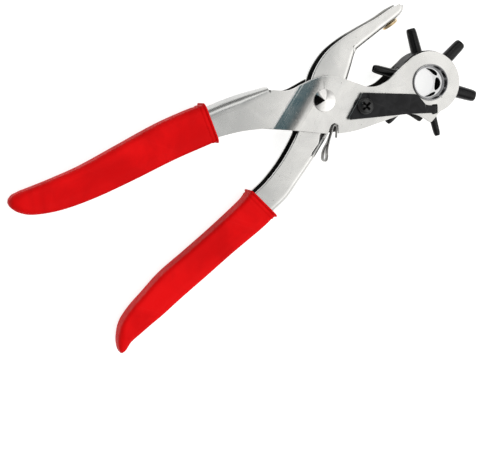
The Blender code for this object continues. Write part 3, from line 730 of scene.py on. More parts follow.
def black_oxide(name, tone, rough, worn_share, grain_scale, shine=0.32):
    """Blackened steel: a thin matt oxide that wears to grey along its edges."""
    f = Finish(name, 0.35, Specular_IOR_Level=shine)
    cloud = f.effect(CLOUD, Scale=240.0)
    fine = f.effect(CLOUD, Scale=grain_scale)
    scratches = f.effect(SCRATCHES, Scale=1.4, Amount=0.6)
    pits = f.effect(PITS, Scale=900.0, Share=0.06)
    edge, hollow = f.worn(0.55, 0.68)
    colour = f.coat(f.mix(cloud, tone, tuple(c * 0.62 for c in tone)),
                    (scratches, 0.35, (0.10, 0.10, 0.10)),
                    (edge, worn_share, (0.32, 0.315, 0.305)), (hollow, 0.5, (0.004, 0.004, 0.004)))
    roughness = f.weigh(rough, (cloud, 0.10), (fine, 0.08), (scratches, -0.08), (edge, -0.10))
    height = f.weigh(0.0, (fine, 0.5), (pits, -0.8), (scratches, -0.25))
    return f.finish(colour, roughness, height, 0.010)


def turned_brass():
    """Soft brass, turned, browned round its rim and scarred by the tubes."""
    f = Finish("turned_brass", 1.0)
    rings = f.effect(LATHE, Pitch=0.00025)
    cloud = f.effect(CLOUD, Scale=380.0)
    pits = f.effect(PITS, Scale=900.0, Share=0.15)
    edge, hollow = f.worn(0.53, 0.62)
    colour = f.coat(f.mix(cloud, (0.92, 0.79, 0.56), (0.68, 0.50, 0.27)),
                    (hollow, 0.9, (0.12, 0.07, 0.03)), (pits, 0.5, (0.40, 0.27, 0.12)),
                    (edge, 0.5, (0.95, 0.86, 0.64)))
    roughness = f.weigh(0.22, (cloud, 0.14), (rings, 0.06))
    return f.finish(colour, roughness, f.weigh(0.0, (rings, 0.7), (pits, -0.8)), 0.012)


def dipped_vinyl():
    """Red vinyl that the handles are dipped in: soft gloss, faint flow marks and pores."""
    f = Finish("dipped_red_vinyl", 0.0, IOR=1.28, Specular_IOR_Level=0.17)
    cloud = f.effect(CLOUD, Scale=45.0)
    flow = f.effect(CLOUD, Scale=210.0)
    pores = f.effect(CLOUD, Scale=2600.0)
    pits = f.effect(PITS, Scale=520.0, Share=0.05)
    scuffs = f.effect(SCRATCHES, Scale=0.8, Amount=0.7)
    edge, hollow = f.worn(0.53, 0.62)
    colour = f.coat(f.mix(cloud, (0.83, 0.0035, 0.0045), (0.64, 0.0022, 0.0032)),
                    (hollow, 0.7, (0.20, 0.0010, 0.0015)), (edge, 0.35, (0.90, 0.020, 0.022)),
                    (scuffs, 0.14, (0.86, 0.035, 0.038)))
    roughness = f.weigh(0.48, (cloud, 0.07), (flow, 0.06), (scuffs, 0.12), (pores, 0.04))
    height = f.weigh(0.0, (flow, 0.45), (pores, 0.16), (pits, -0.5), (scuffs, -0.10))
    return f.finish(colour, roughness, height, 0.03)


def bench_paper():
    """The pale floor: a smooth lit board with the faintest fibre."""
    f = Finish("pale_floor_board", 0.0)
    cloud = f.effect(CLOUD, Scale=8.0)
    fibre = f.effect(CLOUD, Scale=900.0)
    f.shader.inputs["Emission Color"].default_value = (1.0, 1.0, 0.995, 1.0)
    rays = f.tree.nodes.new('ShaderNodeLightPath').outputs
    seen = maths(f.tree, 'MAXIMUM', rays["Is Camera Ray"], rays["Is Glossy Ray"])
    glow = remap(f.tree, seen, 0.0, 1.0, 0.22, 0.74)
    f.tree.links.new(glow, f.shader.inputs["Emission Strength"])
    colour = f.mix(cloud, (0.58, 0.58, 0.575), (0.56, 0.56, 0.555))
    return f.finish(colour, f.weigh(0.75, (cloud, 0.05)), fibre, 0.01)


NICKEL = nickel_sheet()
SHADED_INSIDE = shaded_inner_sheet()
RIVET_STEEL = bright_turned("turned_rivet_steel", (0.86, 0.85, 0.835), 0.03, 0.00022, 0.0012)
# painted shade: the axle's flared outside gets a dark steel tone for the shadow in the gap under
# its lip and its dark reflection; the bore keeps a bright tone
SHADED_AXLE_STEEL = bright_turned("flared_axle_steel_painted_shade", (0.42, 0.42, 0.43), 0.14, 0.0003)
BORE_STEEL = bright_turned("reamed_bore_steel", (0.86, 0.86, 0.86), 0.16, 0.0003)
NUT_STEEL = bright_turned("bright_nut_steel", (0.70, 0.70, 0.69), 0.22, 0.0004)
STRIP = spring_strip()
DRUM_BLACK = black_oxide("black_drum", (0.013, 0.013, 0.014), 0.42, 0.35, 1500.0)
TUBE_BLACK = black_oxide("black_tubes", (0.006, 0.006, 0.0065), 0.18, 0.75, 1800.0, 0.42)
LEAF_BLACK = black_oxide("black_leaf", (0.018, 0.018, 0.0195), 0.46, 0.75, 2400.0)
SCREW_BLACK = black_oxide("black_screw", (0.010, 0.010, 0.0105), 0.20, 0.50, 1600.0, 0.90)
BRASS = turned_brass()
VINYL = dipped_vinyl()


# ---------------------------------------------------------------- folded levers

def fold_columns(silhouette, radii, half_width, steps):
    """Columns of points across a folded web, from the front flange round to the back one."""
    rows = []
    for (x, y), normal, radius in zip(silhouette, left_normals(silhouette), radii):
        row = []
        for k in range(steps + 1):
            a = math.radians(90 * k / steps)
            depth = radius * (1 - math.sin(a))
            height = half_width - radius * (1 - math.cos(a))
            out = (-normal.x * math.sin(a), -normal.y * math.sin(a), math.cos(a))
            row.append(((x + normal.x * depth, y + normal.y * depth, height), out))
        for (px, py, pz), (nx, ny, nz) in list(reversed(row)):
            row.append(((px, py, -pz), (nx, ny, -nz)))
        rows.append(row)
    return rows


def flange_line(silhouette, radii):
    """Where the flat flange starts behind a folded web."""
    line = []
    for (x, y), normal, radius in zip(silhouette, left_normals(silhouette), radii):
        line.append((x + normal.x * radius, y + normal.y * radius))
    return line


def new_skin():
    """An empty mesh whose points remember which way is out of the sheet."""
    bm = bmesh.new()
    bm.verts.layers.float_vector.new("outward")
    return bm


def skin_point(bm, place, out):
    """Add a point to a skin."""
    point = bm.verts.new(place)
    point[bm.verts.layers.float_vector["outward"]] = out
    return point


def skin_rows(bm, rows):
    """Skin rows of (place, outward) pairs."""
    made = [[skin_point(bm, place, out) for place, out in row] for row in rows]
    for near, far in zip(made, made[1:]):
        for k in range(len(near) - 1):
            bm.faces.new((far[k], near[k], near[k + 1], far[k + 1]))


def sheet_lever(flanges, folds, level):
    """The outer skin of a folded lever: its two flanges and its folded webs."""
    bm = new_skin()
    for sign, outline, holes, creases in flanges:
        verts, faces = triangulate(outline, holes, creases, rim=0.5)
        made = [skin_point(bm, (x, y, sign * level(x, y)), (0, 0, sign)) for x, y in verts]
        for face in faces:
            corners = [made[i] for i in face]
            bm.faces.new(corners if sign > 0 else list(reversed(corners)))
    for rows in folds:
        skin_rows(bm, rows)
    return bm


def give_thickness(bm, sheet, inner_finish):
    """Close a skin with an inner side, one sheet thickness in, and a rim round every open edge."""
    bmesh.ops.remove_doubles(bm, verts=bm.verts, dist=WELD)
    layer = bm.verts.layers.float_vector["outward"]
    outer_faces = list(bm.faces)
    open_edges = [edge for edge in bm.edges if len(edge.link_faces) == 1]
    inner = {}
    for point in list(bm.verts):
        inner[point] = bm.verts.new(point.co - point[layer].normalized() * sheet)
    for face in outer_faces:
        behind = bm.faces.new([inner[point] for point in reversed(face.verts)])
        behind.material_index = inner_finish
    for edge in open_edges:
        corner = edge.link_loops[0]
        a, b = corner.vert, corner.link_loop_next.vert
        bm.faces.new((b, a, inner[a], inner[b]))
    return bm


def joggle_level(x, y):
    """Outer half width of the punch lever: crisp at the first crease, fading out at the second."""
    past = joggle_across().dot(Vector((x, y)) - Vector(JOGGLE_CREASE[0])) / JOGGLE_RUN
    if past <= 0:
        share = 0.0
    elif past < JOGGLE_STRAIGHT:
        share = past
    else:
        t = min((past - JOGGLE_STRAIGHT) / JOGGLE_FADE, 1.0)
        share = JOGGLE_STRAIGHT + JOGGLE_FADE * (t - t * t / 2)
    share /= JOGGLE_STRAIGHT + JOGGLE_FADE / 2
    return HANDLE_HALF + (HEAD_HALF - HANDLE_HALF) * share


# The punch lever outside its grip: its web from the cut-off shoulder, and its open lower edge
PUNCH_WEB = ((-24.2, 10.0), (-36.8, 8.9), (-45.5, 7.4))
PUNCH_OPEN_EDGE = ((-40.0, -7.6), (-30.0, -8.0))
PUNCH_FOLD = 5.7
SHOULDER_FOLD = 2.6
SHOULDER_RUN = 14.0
EYE_RADIUS = 14.2
SLOT_MOUTH = (-0.7, 4.2)
SLOT_END = ((1.2, -11.6, 0.9), (3.0, -10.8, 1.2), (4.6, -11.9, 0.9))
FINGER_SLOT = ((49.6, -14.5, 0.5), (52.3, -14.5, 0.5), (52.9, -10.3, 0.5), (50.2, -10.3, 0.5))

# Middle line and half height of each grip, from its mouth to its tip
UPPER_GRIP = ((-52.4, -1.5, 8.65), (-60.5, -3.2, 8.8), (-74.4, -6.7, 8.7), (-94.1, -13.0, 8.25),
              (-111.3, -18.2, 7.6), (-125.5, -21.2, 7.05), (-136.0, -22.3, 6.0),
              (-141.5, -22.0, 4.9), (-145.3, -21.2, 3.1), (-147.0, -20.7, 0.9))
LOWER_GRIP = ((-34.2, -41.2, 7.6), (-40.5, -45.8, 7.4), (-55.6, -54.9, 6.9), (-69.3, -63.1, 6.9),
              (-81.7, -70.4, 6.9), (-91.2, -77.0, 6.3), (-97.9, -81.5, 5.7),
              (-103.2, -85.8, 4.8), (-106.7, -90.2, 3.3), (-108.6, -94.6, 1.7),
              (-109.2, -96.4, 0.5))
GRIP_WALL = 1.2
TANG_END = 6      # the handle ends at this point of its grip's middle line


def tang(line, side):
    """One edge of a handle inside its grip, from the mouth inwards."""
    edge = []
    for (x, y, half), normal in list(zip(line, left_normals(line)))[:TANG_END + 1]:
        out = side * (half - GRIP_WALL - GAP)
        edge.append((x + normal.x * out, y + normal.y * out))
    return edge


def punch_web():
    """The whole outer line of the punch lever's web."""
    return smooth(list(PUNCH_WEB) + tang(UPPER_GRIP, -1), 8)


def punch_radii(web):
    """Outer radius of the punch lever's fold along its web."""
    radii = []
    for x, _y in web:
        share = min((PUNCH_WEB[0][0] - x) / SHOULDER_RUN, 1.0)
        radii.append(SHOULDER_FOLD + (PUNCH_FOLD - SHOULDER_FOLD) * share)
    return radii


def punch_plate(slotted):
    """The flange of the punch lever; only the front one has the spring's slot."""
    belly = rounded([(-30.0, -8.0, 0), (-17.0, -10.9, 12), (6.5, -17.2, 50), (37.0, -12.0, 16),
                     (43.0, -13.5, 10), (48.6, -18.4, 1.2), (53.4, -14.0, 0)])
    if slotted:
        left, right = SLOT_MOUTH
        before = [p for p in belly if p[0] < left]
        after = [p for p in belly if p[0] > right]
        mouth = [(x, height_at(belly, x), 0) for x in SLOT_MOUTH]
        belly = before + rounded([mouth[0], *SLOT_END, mouth[1]], 15.0) + after
    eye = arc(WHEEL_X, 0, EYE_RADIUS, -78, 123, 72)
    crest = rounded([eye[-1] + (0,), (25.5, 0.5, 12), (2.5, 12.4, 20), (-15.0, 6.7, 10),
                     (-22.4, 8.4, 0.8), (-23.9, 7.5, 0)])
    web = punch_web()
    handle = smooth(list(reversed(tang(UPPER_GRIP, 1))) + list(PUNCH_OPEN_EDGE), 8)
    outline = handle[:-1] + belly[:-1] + eye + crest[1:] + flange_line(web, punch_radii(web))
    holes = [circle(0, 0, RIVET_BORE), circle(WHEEL_X, 0, AXLE_HOLE, 72)]
    if slotted:
        holes.append(circle(*SCREW, SCREW_HOLE, 32))
        holes.append(soft_loop(FINGER_SLOT, 30.0))
    return outline, holes


def build_punch_lever():
    """The lever that carries the wheel: a channel handle that opens out into two head plates."""
    web = punch_web()
    folds = [fold_columns(web, punch_radii(web), HANDLE_HALF, 12)]
    creases = []
    for share in [0.0, 0.2] + [JOGGLE_STRAIGHT + JOGGLE_FADE * k / 9 for k in range(10)]:
        shift = joggle_across() * JOGGLE_RUN * share
        creases.append([tuple(Vector(p) + shift) for p in JOGGLE_CREASE])
    flanges = [(1, *punch_plate(slotted=True), creases), (-1, *punch_plate(slotted=False), creases)]
    bm = sheet_lever(flanges, folds, joggle_level)
    lever = make("punch_lever_sheet", give_thickness(bm, SHEET, 1), [NICKEL, SHADED_INSIDE])
    break_edges(lever, 0.16)
    seat(settle(lever, 18.0), "punch_lever")


# The anvil lever's web below the pivot, and the tongue that carries it on past its flanges
ANVIL_WEB = ((-23.3, -41.3), (-17.9, -36.0), (-8.8, -26.7), (-7.3, -25.1))
ANVIL_TONGUE = ((-7.3, -25.1), (-3.1, -20.3), (0.2, -16.4), (2.0, -13.6))
ANVIL_NECK = ((-8.8, -22.9, 0), (-4.6, -18.6, 3), (-3.6, -14.6, 3), (-1.0, -11.6, 2),
              (5.5, -10.0, 5), (9.9, -4.0, 6), (9.1, 4.0, 0))
ANVIL_OPEN_EDGE = ((43.1, 37.5), (38.4, 36.0), (31.6, 32.9), (21.9, 29.4), (14.1, 26.3),
                   (6.1, 21.8), (0.3, 16.2), (-3.7, 9.9), (-8.0, -1.0), (-13.5, -12.2),
                   (-22.3, -23.5), (-31.0, -31.6))
ANVIL_FOLD = 2.4

# The jaw's curved web with the radius of its fold, and the brass pad's place and direction on it
JAW_WEB = ((11.4, 3.2, 2.4), (13.3, 7.2, 2.4), (16.5, 13.6, 2.4), (18.7, 18.2, 2.4),
           (19.9, 19.8, 2.4), (21.4, 20.9, 2.4), (33.5, 27.4, 2.4), (41.2, 31.5, 2.3),
           (44.3, 33.8, 2.2), (45.3, 36.4, 2.2))
ANVIL_SEAT = (38.06, 29.83)
ANVIL_DIRECTION = -62.6
PAD_STEM = 1.7
PAD_HOLE = 1.82
PAD_RIM = 4.2
PAD_TOP = 1.6


def build_anvil_lever():
    """The lever between the head plates: channel handle, flat neck at the pivot, curved jaw."""
    handle_web = smooth(list(reversed(tang(LOWER_GRIP, 1))) + list(ANVIL_WEB), 8)
    handle_radii = [ANVIL_FOLD] * len(handle_web)
    jaw = smooth(JAW_WEB, 6)
    jaw_web = [point[:2] for point in jaw]
    jaw_radii = [point[2] for point in jaw]
    folds = [fold_columns(handle_web, handle_radii, ANVIL_HALF, 8),
             fold_columns(jaw_web, jaw_radii, ANVIL_HALF, 8)]
    flat = ANVIL_HALF - ANVIL_FOLD
    line = smooth(ANVIL_TONGUE, 8)
    tongue = []
    for (x, y), normal in zip(line, left_normals(line)):
        out = (-normal.x, -normal.y, 0)
        tongue.append([((x, y, flat), out), ((x, y, -flat), out)])
    outline = flange_line(handle_web, handle_radii) + rounded(ANVIL_NECK)
    outline += flange_line(jaw_web, jaw_radii)
    outline += smooth(list(ANVIL_OPEN_EDGE) + tang(LOWER_GRIP, -1), 6)
    holes = [circle(0, 0, RIVET_BORE)]
    flanges = [(side, outline, holes, []) for side in (1, -1)]
    bm = sheet_lever(flanges, folds + [tongue], lambda x, y: ANVIL_HALF)
    lever = make("anvil_lever_sheet", give_thickness(bm, SHEET, 1), [NICKEL, SHADED_INSIDE])
    place = axis_frame(*ANVIL_SEAT, 0, ANVIL_DIRECTION)
    cut(lever, shaft([(PAD_HOLE, -4), (PAD_HOLE, 3)], 32, place))
    break_edges(lever, 0.16)
    seat(settle(lever, 30.0), "anvil_lever")


# ---------------------------------------------------------------- pivot

RIVET_SHANK = 4.0
RIVET_CONE = 0.7      # how much lower a head is at its rim than at its centre


def build_rivet():
    """The pivot rivet with its two flat turned heads."""
    under = HEAD_HALF + GAP
    half = rounded([(RIVET_SHANK, 0, 0), (RIVET_SHANK, under, 0), (RIVET_HEAD, under, 0.1),
                    (RIVET_HEAD, MIDDLE - RIVET_CONE, 0.12), (0.12, MIDDLE, 0.2),
                    (0.05, MIDDLE, 0)], 20.0)
    profile = [(r, -z) for r, z in reversed(half[1:])] + half[1:]
    rivet = make("pivot_rivet_turned", shaft(profile, 96), [RIVET_STEEL], crisp=50.0)
    seat(rivet, "pivot_rivet")


def flat_ring(node, bore, bore_edge, rim_edge):
    """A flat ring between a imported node's own levels, with its edges broken."""
    bottom, top = levels_of(node)
    radius = half_span(node, 0)
    return turned(soft_loop([(bore, bottom, bore_edge), (radius, bottom, rim_edge),
                             (radius, top, rim_edge), (bore, top, bore_edge)], 30.0), 72)


def build_pivot_washers():
    """The thin washers that centre the anvil lever between the head plates."""
    for node in ("pivot_washer_front", "pivot_washer_back"):
        washer = make(node + "_turned", flat_ring(node, RIVET_BORE, 0.12, 0.12), [NUT_STEEL])
        seat(washer, node)


# ---------------------------------------------------------------- wheel

TUBE_HOLE = 3.4
TUBE_ROOT = 3.1
DIMPLE_CIRCLE = 12.2
DIMPLE_TURN = -21.2   # from a tube to the dimple of its station, in degrees


def build_hub():
    """The wheel's drum, with a radial hole for each tube and a dimple for each station."""
    ring = soft_loop([(AXLE_HOLE, -HUB_HALF, 0.25), (HUB_RADIUS, -HUB_HALF, 0.8),
                      (HUB_RADIUS, HUB_HALF, 0.8), (AXLE_HOLE, HUB_HALF, 0.25)], 15.0)
    hub = make("wheel_drum", turned(ring, 96), [DRUM_BLACK])
    hole = [(TUBE_HOLE, AXLE_RADIUS - 0.8), (TUBE_HOLE, HUB_RADIUS + 1)]
    dimple = [(0.5, HUB_HALF - 0.6), (1.3, HUB_HALF), (1.3, HUB_HALF + 1)]
    holes = bmesh.new()
    for station in range(len(TUBE_BORES)):
        angle = FIRST_TUBE + STEP * station
        join(holes, shaft(hole, 40, axis_frame(0, 0, 0, angle)))
        spoke = Matrix.Rotation(math.radians(angle + DIMPLE_TURN), 2) @ Vector((DIMPLE_CIRCLE, 0))
        join(holes, shaft(dimple, 24, Matrix.Translation((*spoke, 0))))
    cut(hub, holes)
    break_edges(hub, 0.12, 1)
    settle(hub)
    hub.location.x = WHEEL_X * MM
    seat(hub, "wheel_hub")


def build_tubes():
    """Six punch tubes, each with its own bore and a ground cutting edge."""
    for station, (bore, diameter) in enumerate(zip(TUBE_BORES, TUBE_DIAMETERS)):
        inner = bore / 2
        outer = diameter / 2
        tip = TUBE_TIP
        collar = HUB_RADIUS - 0.3
        profile = soft_loop([(inner + 0.2, 9.6, 0.1), (TUBE_ROOT, 9.6, 0.1),
                             (TUBE_ROOT, collar, 0.25), (min(outer + 0.25, 3.0), collar, 0.1),
                             (outer + 0.02, tip - 2.3, 3.0), (outer - 0.1, tip - 0.9, 0.5),
                             (inner + 0.12, tip, 0.05), (inner, tip, 0.05),
                             (inner, tip - 3.0, 0.2), (inner + 0.2, tip - 3.6, 0.2)], 12.0)
        name = f"punch_tube_{bore:.1f}mm".replace(".", "_")
        tube = make(name + "_ground", turned(profile, 48), [TUBE_BLACK])
        stand(tube, WHEEL_X, 0, FIRST_TUBE + STEP * station)
        seat(tube, name)


WINDOW_RADIUS = 2.95
WINDOW_STRETCH = 1.3
FIRST_WINDOW = 105.0


def build_axle():
    """The hollow axle: flared over the head plates, with a slug window for each station."""
    low = HEAD_HALF + GAP
    flare = [(AXLE_RADIUS, low, 0), (AXLE_LIP, low, 0.12), (AXLE_LIP, AXLE_TOP - 0.12, 0.3),
             (AXLE_BORE + 1.25, AXLE_TOP, 0.35), (AXLE_BORE + 0.55, low - 1.2, 1.5),
             (AXLE_BORE, low - 3.4, 1.5)]
    half = rounded([(AXLE_RADIUS, 0, 0)] + flare + [(AXLE_BORE, 0, 0)], 8.0)[1:-1]
    profile = half + [(r, -z) for r, z in reversed(half)]
    axle = make("hollow_axle", turned(profile, 96), [SHADED_AXLE_STEEL, BORE_STEEL])
    window = [(WINDOW_RADIUS, AXLE_BORE - 1.4), (WINDOW_RADIUS, AXLE_RADIUS + 1)]
    taller = Matrix.Diagonal((1.0, WINDOW_STRETCH, 1.0, 1.0))
    windows = bmesh.new()
    for station in range(len(TUBE_BORES)):
        place = axis_frame(0, 0, 0, FIRST_WINDOW + STEP * station)
        join(windows, shaft(window, 40, place @ taller))
    cut(axle, windows)
    break_edges(axle, 0.1, 2, 50.0)
    settle(axle)
    # the bore takes the bright steel; the flare outside keeps the darker steel, which is painted
    # shade
    for face in axle.data.polygons:
        spot = face.center / MM
        if abs(spot.z) < low - 3.3 and math.hypot(spot.x, spot.y) < AXLE_BORE + 0.1:
            face.material_index = 1
    axle.location.x = WHEEL_X * MM
    seat(axle, "wheel_axle")


# ---------------------------------------------------------------- indexing leaf

LEAF_OUTLINE = ((50.4, -14.0, 0), (37.5, -12.4, 30), (8.9, -10.4, 0.7), (17.6, 0.7, 0.6),
                (43.4, -4.2, 2.5), (47.0, -9.8, 2.5), (50.9, -10.7, 0))
LEAF_DROP = 0.8
LEAF_THICKNESS = 1.1
LEAF_BEND = 1.3
LEAF_SEAMS = [20.5 + 2.6 * k for k in range(12)]      # where the leaf's mesh can bend along X


def leaf_level(x):
    """Top face of the leaf, which curves down a little towards its finger."""
    share = min(max((x - SCREW[0] - 6.0) / 24.0, 0.0), 1.0)
    return LEAF_TOP - LEAF_DROP * share * share * (3 - 2 * share)


def build_leaf():
    """The flat indexing spring, its end bent down through the front plate as a finger."""
    outline = rounded(LEAF_OUTLINE)
    start, end = Vector(outline[0]), Vector(outline[-1])
    across = [0.0, 0.12, 0.5, 0.88, 1.0]
    outline += [tuple(end.lerp(start, t)) for t in across[1:-1]]
    seams = [((x, 4.0), (x, -20.0)) for x in LEAF_SEAMS]
    verts, faces = triangulate(outline, [circle(*SCREW, SCREW_HOLE, 32)], seams, rim=0.4)
    bm = new_skin()
    made = [skin_point(bm, (x, y, leaf_level(x)), (0, 0, 1)) for x, y in verts]
    for face in faces:
        bm.faces.new([made[i] for i in face])
    out = Vector((end.y - start.y, start.x - end.x)).normalized()
    top = leaf_level(start.x)
    tip = HUB_HALF + GAP
    upright = math.radians(90)
    finger = [(LEAF_BEND * math.sin(a), top - LEAF_BEND * (1 - math.cos(a)), a)
              for a in (upright * k / 6 for k in range(7))]
    finger += [(LEAF_BEND, z, upright) for z in ((top - LEAF_BEND + tip) / 2, tip)]
    rows = []
    for run, z, a in finger:
        normal = (out.x * math.sin(a), out.y * math.sin(a), math.cos(a))
        row = []
        for spot in (end.lerp(start, t) for t in across):
            lift = (leaf_level(spot.x) - top) * max(0.0, math.cos(a))
            row.append(((*(spot + out * run), z + lift), normal))
        rows.append(row)
    skin_rows(bm, list(reversed(rows)))
    strip = give_thickness(bm, LEAF_THICKNESS, 0)
    leaf = make("indexing_leaf_strip", strip, [LEAF_BLACK, NUT_STEEL])
    break_edges(leaf, 0.14)
    settle(leaf, 30.0)
    for face in leaf.data.polygons:
        if abs(face.normal.z) < 0.85 and face.normal.x < -0.5 and face.center.x < 18.0 * MM:
            face.material_index = 1
    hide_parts("index_leaf")
    axis = Vector(JOINTS["index_leaf_flex"]["axis"])
    onward = axis.cross(Vector((0, 0, 1)))
    if onward.x < 0:
        onward.negate()
    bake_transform(leaf)


def seat_at_screw(piece, node):
    """Seat a finished piece that was made round Z on the axis of the leaf's screw."""
    piece.location.xy = (SCREW[0] * MM, SCREW[1] * MM)
    seat(piece, node)


def build_spacer():
    """The spacer washer between the leaf and the front head plate."""
    ring = flat_ring("index_spacer", SCREW_HOLE, 0.1, 0.2)
    seat_at_screw(make("leaf_spacer", ring, [SCREW_BLACK]), "index_spacer")


SCREW_SHANK = 2.0
SCREW_DOME = 1.45
CROSS_TURNS = (35.0, 125.0)
# Level from the head's top, half length and half width of a cross blade, at its foot and its top
CROSS_BLADE = ((-2.4, 0.7, 0.22), (0.2, 2.7, 0.66))


def build_screw():
    """The pan-head screw with a cross recess that clamps the leaf."""
    radius = half_span("index_screw", 0)
    foot = levels_of("index_screw")[0]
    under = SCREW_TOP - 2.0
    profile = rounded([(SCREW_SHANK - 0.6, foot, 0), (SCREW_SHANK, foot + 0.6, 0.1),
                       (SCREW_SHANK, under, 0), (radius, under, 0.12),
                       (radius, SCREW_TOP - 1.35, 0.35)], 20.0)
    for k in range(13):
        a = math.radians(12 + 78 * k / 12)
        profile.append((0.3 + (radius - 0.3) * math.cos(a) ** 0.8,
                        SCREW_TOP - SCREW_DOME * (1 - math.sin(a))))
    screw = make("leaf_screw", shaft(profile, 64), [SCREW_BLACK])
    for turn in CROSS_TURNS:
        place = Matrix.Rotation(math.radians(turn), 4, 'Z')
        rings = []
        for level, length, width in CROSS_BLADE:
            corners = ((-length, -width), (length, -width), (length, width), (-length, width))
            rings.append([place @ Vector((x, y, SCREW_TOP + level)) for x, y in corners])
        cut(screw, solid(rings))
    seat_at_screw(settle(screw, 40.0), "index_screw")


def build_nut():
    """The hexagon nut on the screw, behind the front head plate."""
    corner = half_span("index_nut", 0)
    hole = circle(0, 0, SCREW_HOLE, 32)
    hexagon = prism(circle(0, 0, corner, 6), *levels_of("index_nut"), [hole])
    nut = make("leaf_nut", hexagon, [NUT_STEEL])
    break_edges(nut, 0.25)
    seat_at_screw(settle(nut), "index_nut")


# ---------------------------------------------------------------- anvil and return spring

def build_anvil():
    """The soft brass pad riveted to the jaw, which the tubes cut against."""
    inner = -SHEET - GAP
    head = PAD_STEM + 0.9
    face = PAD_RIM - 0.3
    profile = rounded([(head - 0.5, inner - 0.8, 0), (head, inner - 0.7, 0.3), (head, inner, 0.1),
                       (PAD_STEM, inner, 0), (PAD_STEM, GAP, 0), (PAD_RIM, GAP, 0.1),
                       (PAD_RIM, 0.75, 0.2), (face - 0.15, 0.85, 0.1), (face, 1.0, 0.1),
                       (face, PAD_TOP, 0.25), (0.4, PAD_TOP, 0)], 20.0)
    pad = make("brass_anvil_pad", shaft(profile, 72), [BRASS])
    stand(pad, *ANVIL_SEAT, ANVIL_DIRECTION)
    seat(pad, "anvil_pad")


SPRING_STRIP = 0.6
# The spring's route in the plane, with the middle and the half width of the strip across it:
# hook in the front plate's slot, down to the loop, and up to the hook over the tongue
SPRING_ROUTE = ((2.9, -17.6, 8.0, 0.9), (3.4, -15.0, 8.0, 0.9), (3.75, -12.6, 8.0, 0.9),
                (3.0, -11.75, 8.0, 0.9), (2.1, -12.5, 8.0, 0.9), (0.7, -15.6, 8.0, 1.0),
                (-0.6, -18.4, 7.7, 1.4), (-2.0, -22.0, 7.2, 2.0), (-2.6, -25.6, 7.0, 2.1),
                (-3.3, -27.0, 7.0, 2.1), (-4.3, -27.0, 7.0, 2.1), (-4.6, -25.4, 7.0, 2.1),
                (-3.4, -22.4, 6.7, 2.1), (-0.8, -19.5, 5.2, 1.9), (1.2, -17.2, 3.2, 1.7),
                (3.0, -14.6, 2.0, 1.5), (3.0, -12.6, 2.0, 1.5), (1.6, -11.6, 2.0, 1.5),
                (0.1, -12.2, 2.0, 1.2), (-0.9, -13.5, 2.0, 1.0))


def squarish(share, power):
    """A cosine or sine raised to a small power, which squares a ring's corners."""
    return math.copysign(abs(share) ** power, share)


def build_spring():
    """The hairpin return spring: flat strip on edge, hooked to both levers."""
    route = smooth(SPRING_ROUTE, 8)
    rings = []
    for (x, y, middle, half), normal in zip(route, left_normals(route)):
        ring = []
        for k in range(12):
            a = math.radians(30 * k + 15)
            side = squarish(math.cos(a), 0.4) * SPRING_STRIP / 2
            rise = squarish(math.sin(a), 0.25) * half
            ring.append((x + normal.x * side, y + normal.y * side, middle + rise))
        rings.append(ring)
    spring = make("hairpin_spring", solid(rings), [STRIP], crisp=50.0)
    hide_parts("return_spring")
    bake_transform(spring)


# ---------------------------------------------------------------- grips

def grip_section(x, y, run, half_height, half_width, radius, per_corner=7, per_side=3):
    """A rounded rectangle across the grip's middle line, with points along its flats."""
    corner = min(radius, half_height * 0.92, half_width * 0.92)
    high = half_height - corner
    wide = half_width - corner
    bends = []
    for quarter, (h, w) in enumerate(((1, 1), (-1, 1), (-1, -1), (1, -1))):
        start = 90 * quarter
        bends.append(arc(h * high, w * wide, corner, start, start + 90, per_corner))
    ring = []
    for bend, onward in zip(bends, bends[1:] + bends[:1]):
        ring += bend
        (up, out), (far_up, far_out) = bend[-1], onward[0]
        for k in range(1, per_side + 1):
            t = k / (per_side + 1)
            ring.append((up + (far_up - up) * t, out + (far_out - out) * t))
    return [(x - run.y * up, y + run.x * up, out) for up, out in ring]


# The beaded mouth of a grip: distance in from the mouth, and how far the vinyl stands out there
MOUTH_BEAD = ((0.0, -0.35), (0.02, 0.15), (0.08, 0.5), (0.22, 0.78), (0.5, 0.9), (0.78, 0.84),
              (0.98, 0.62), (1.12, 0.34), (1.3, 0.2), (1.6, 0.17), (2.0, 0.22), (2.35, 0.26),
              (2.65, 0.2), (2.9, 0.05), (3.15, -0.04), (3.6, 0.0))
BODY_START = 4.2
GRIP_STEPS = 8
TIP_POINTS = 4        # the tip closes over this many points at the end of the middle line


def build_grip(name, line, lever_half, body_radius, node):
    """A dipped vinyl sleeve: beaded mouth, pocket for the handle, closed tip."""
    pocket_half = lever_half + GAP
    grip_half = pocket_half + GRIP_WALL
    stations = smooth(line, GRIP_STEPS)
    mouth = Vector(line[0][:2])
    inwards = run_at(line, 0)
    rings = []
    for back, standout in MOUTH_BEAD:
        x, y = mouth + inwards * back
        rings.append(grip_section(x, y, inwards, line[0][2] + standout, grip_half + standout,
                                  body_radius + 0.5 * standout))
    full = line[-TIP_POINTS][2]
    for i, (x, y, half) in enumerate(stations):
        if (Vector((x, y)) - mouth).length < BODY_START:
            continue
        share = min(1.0, half / full)
        width = grip_half * math.sqrt(1 - (1 - share) ** 2)
        crown = body_radius + (1 - share) * 3.0
        rings.append(grip_section(x, y, run_at(stations, i), half, width, crown))
    pocket = []
    for i in range(0, GRIP_STEPS * TANG_END, 3):
        x, y, half = stations[i]
        run = run_at(stations, i)
        pocket.append(grip_section(x, y, run, half - GRIP_WALL, pocket_half, 0.5))
    grip = make(name, solid(list(reversed(pocket)) + rings), [VINYL], crisp=60.0)
    seat(grip, node)


# ---------------------------------------------------------------- floor, light and camera

FLOOR_REACH = 3000.0
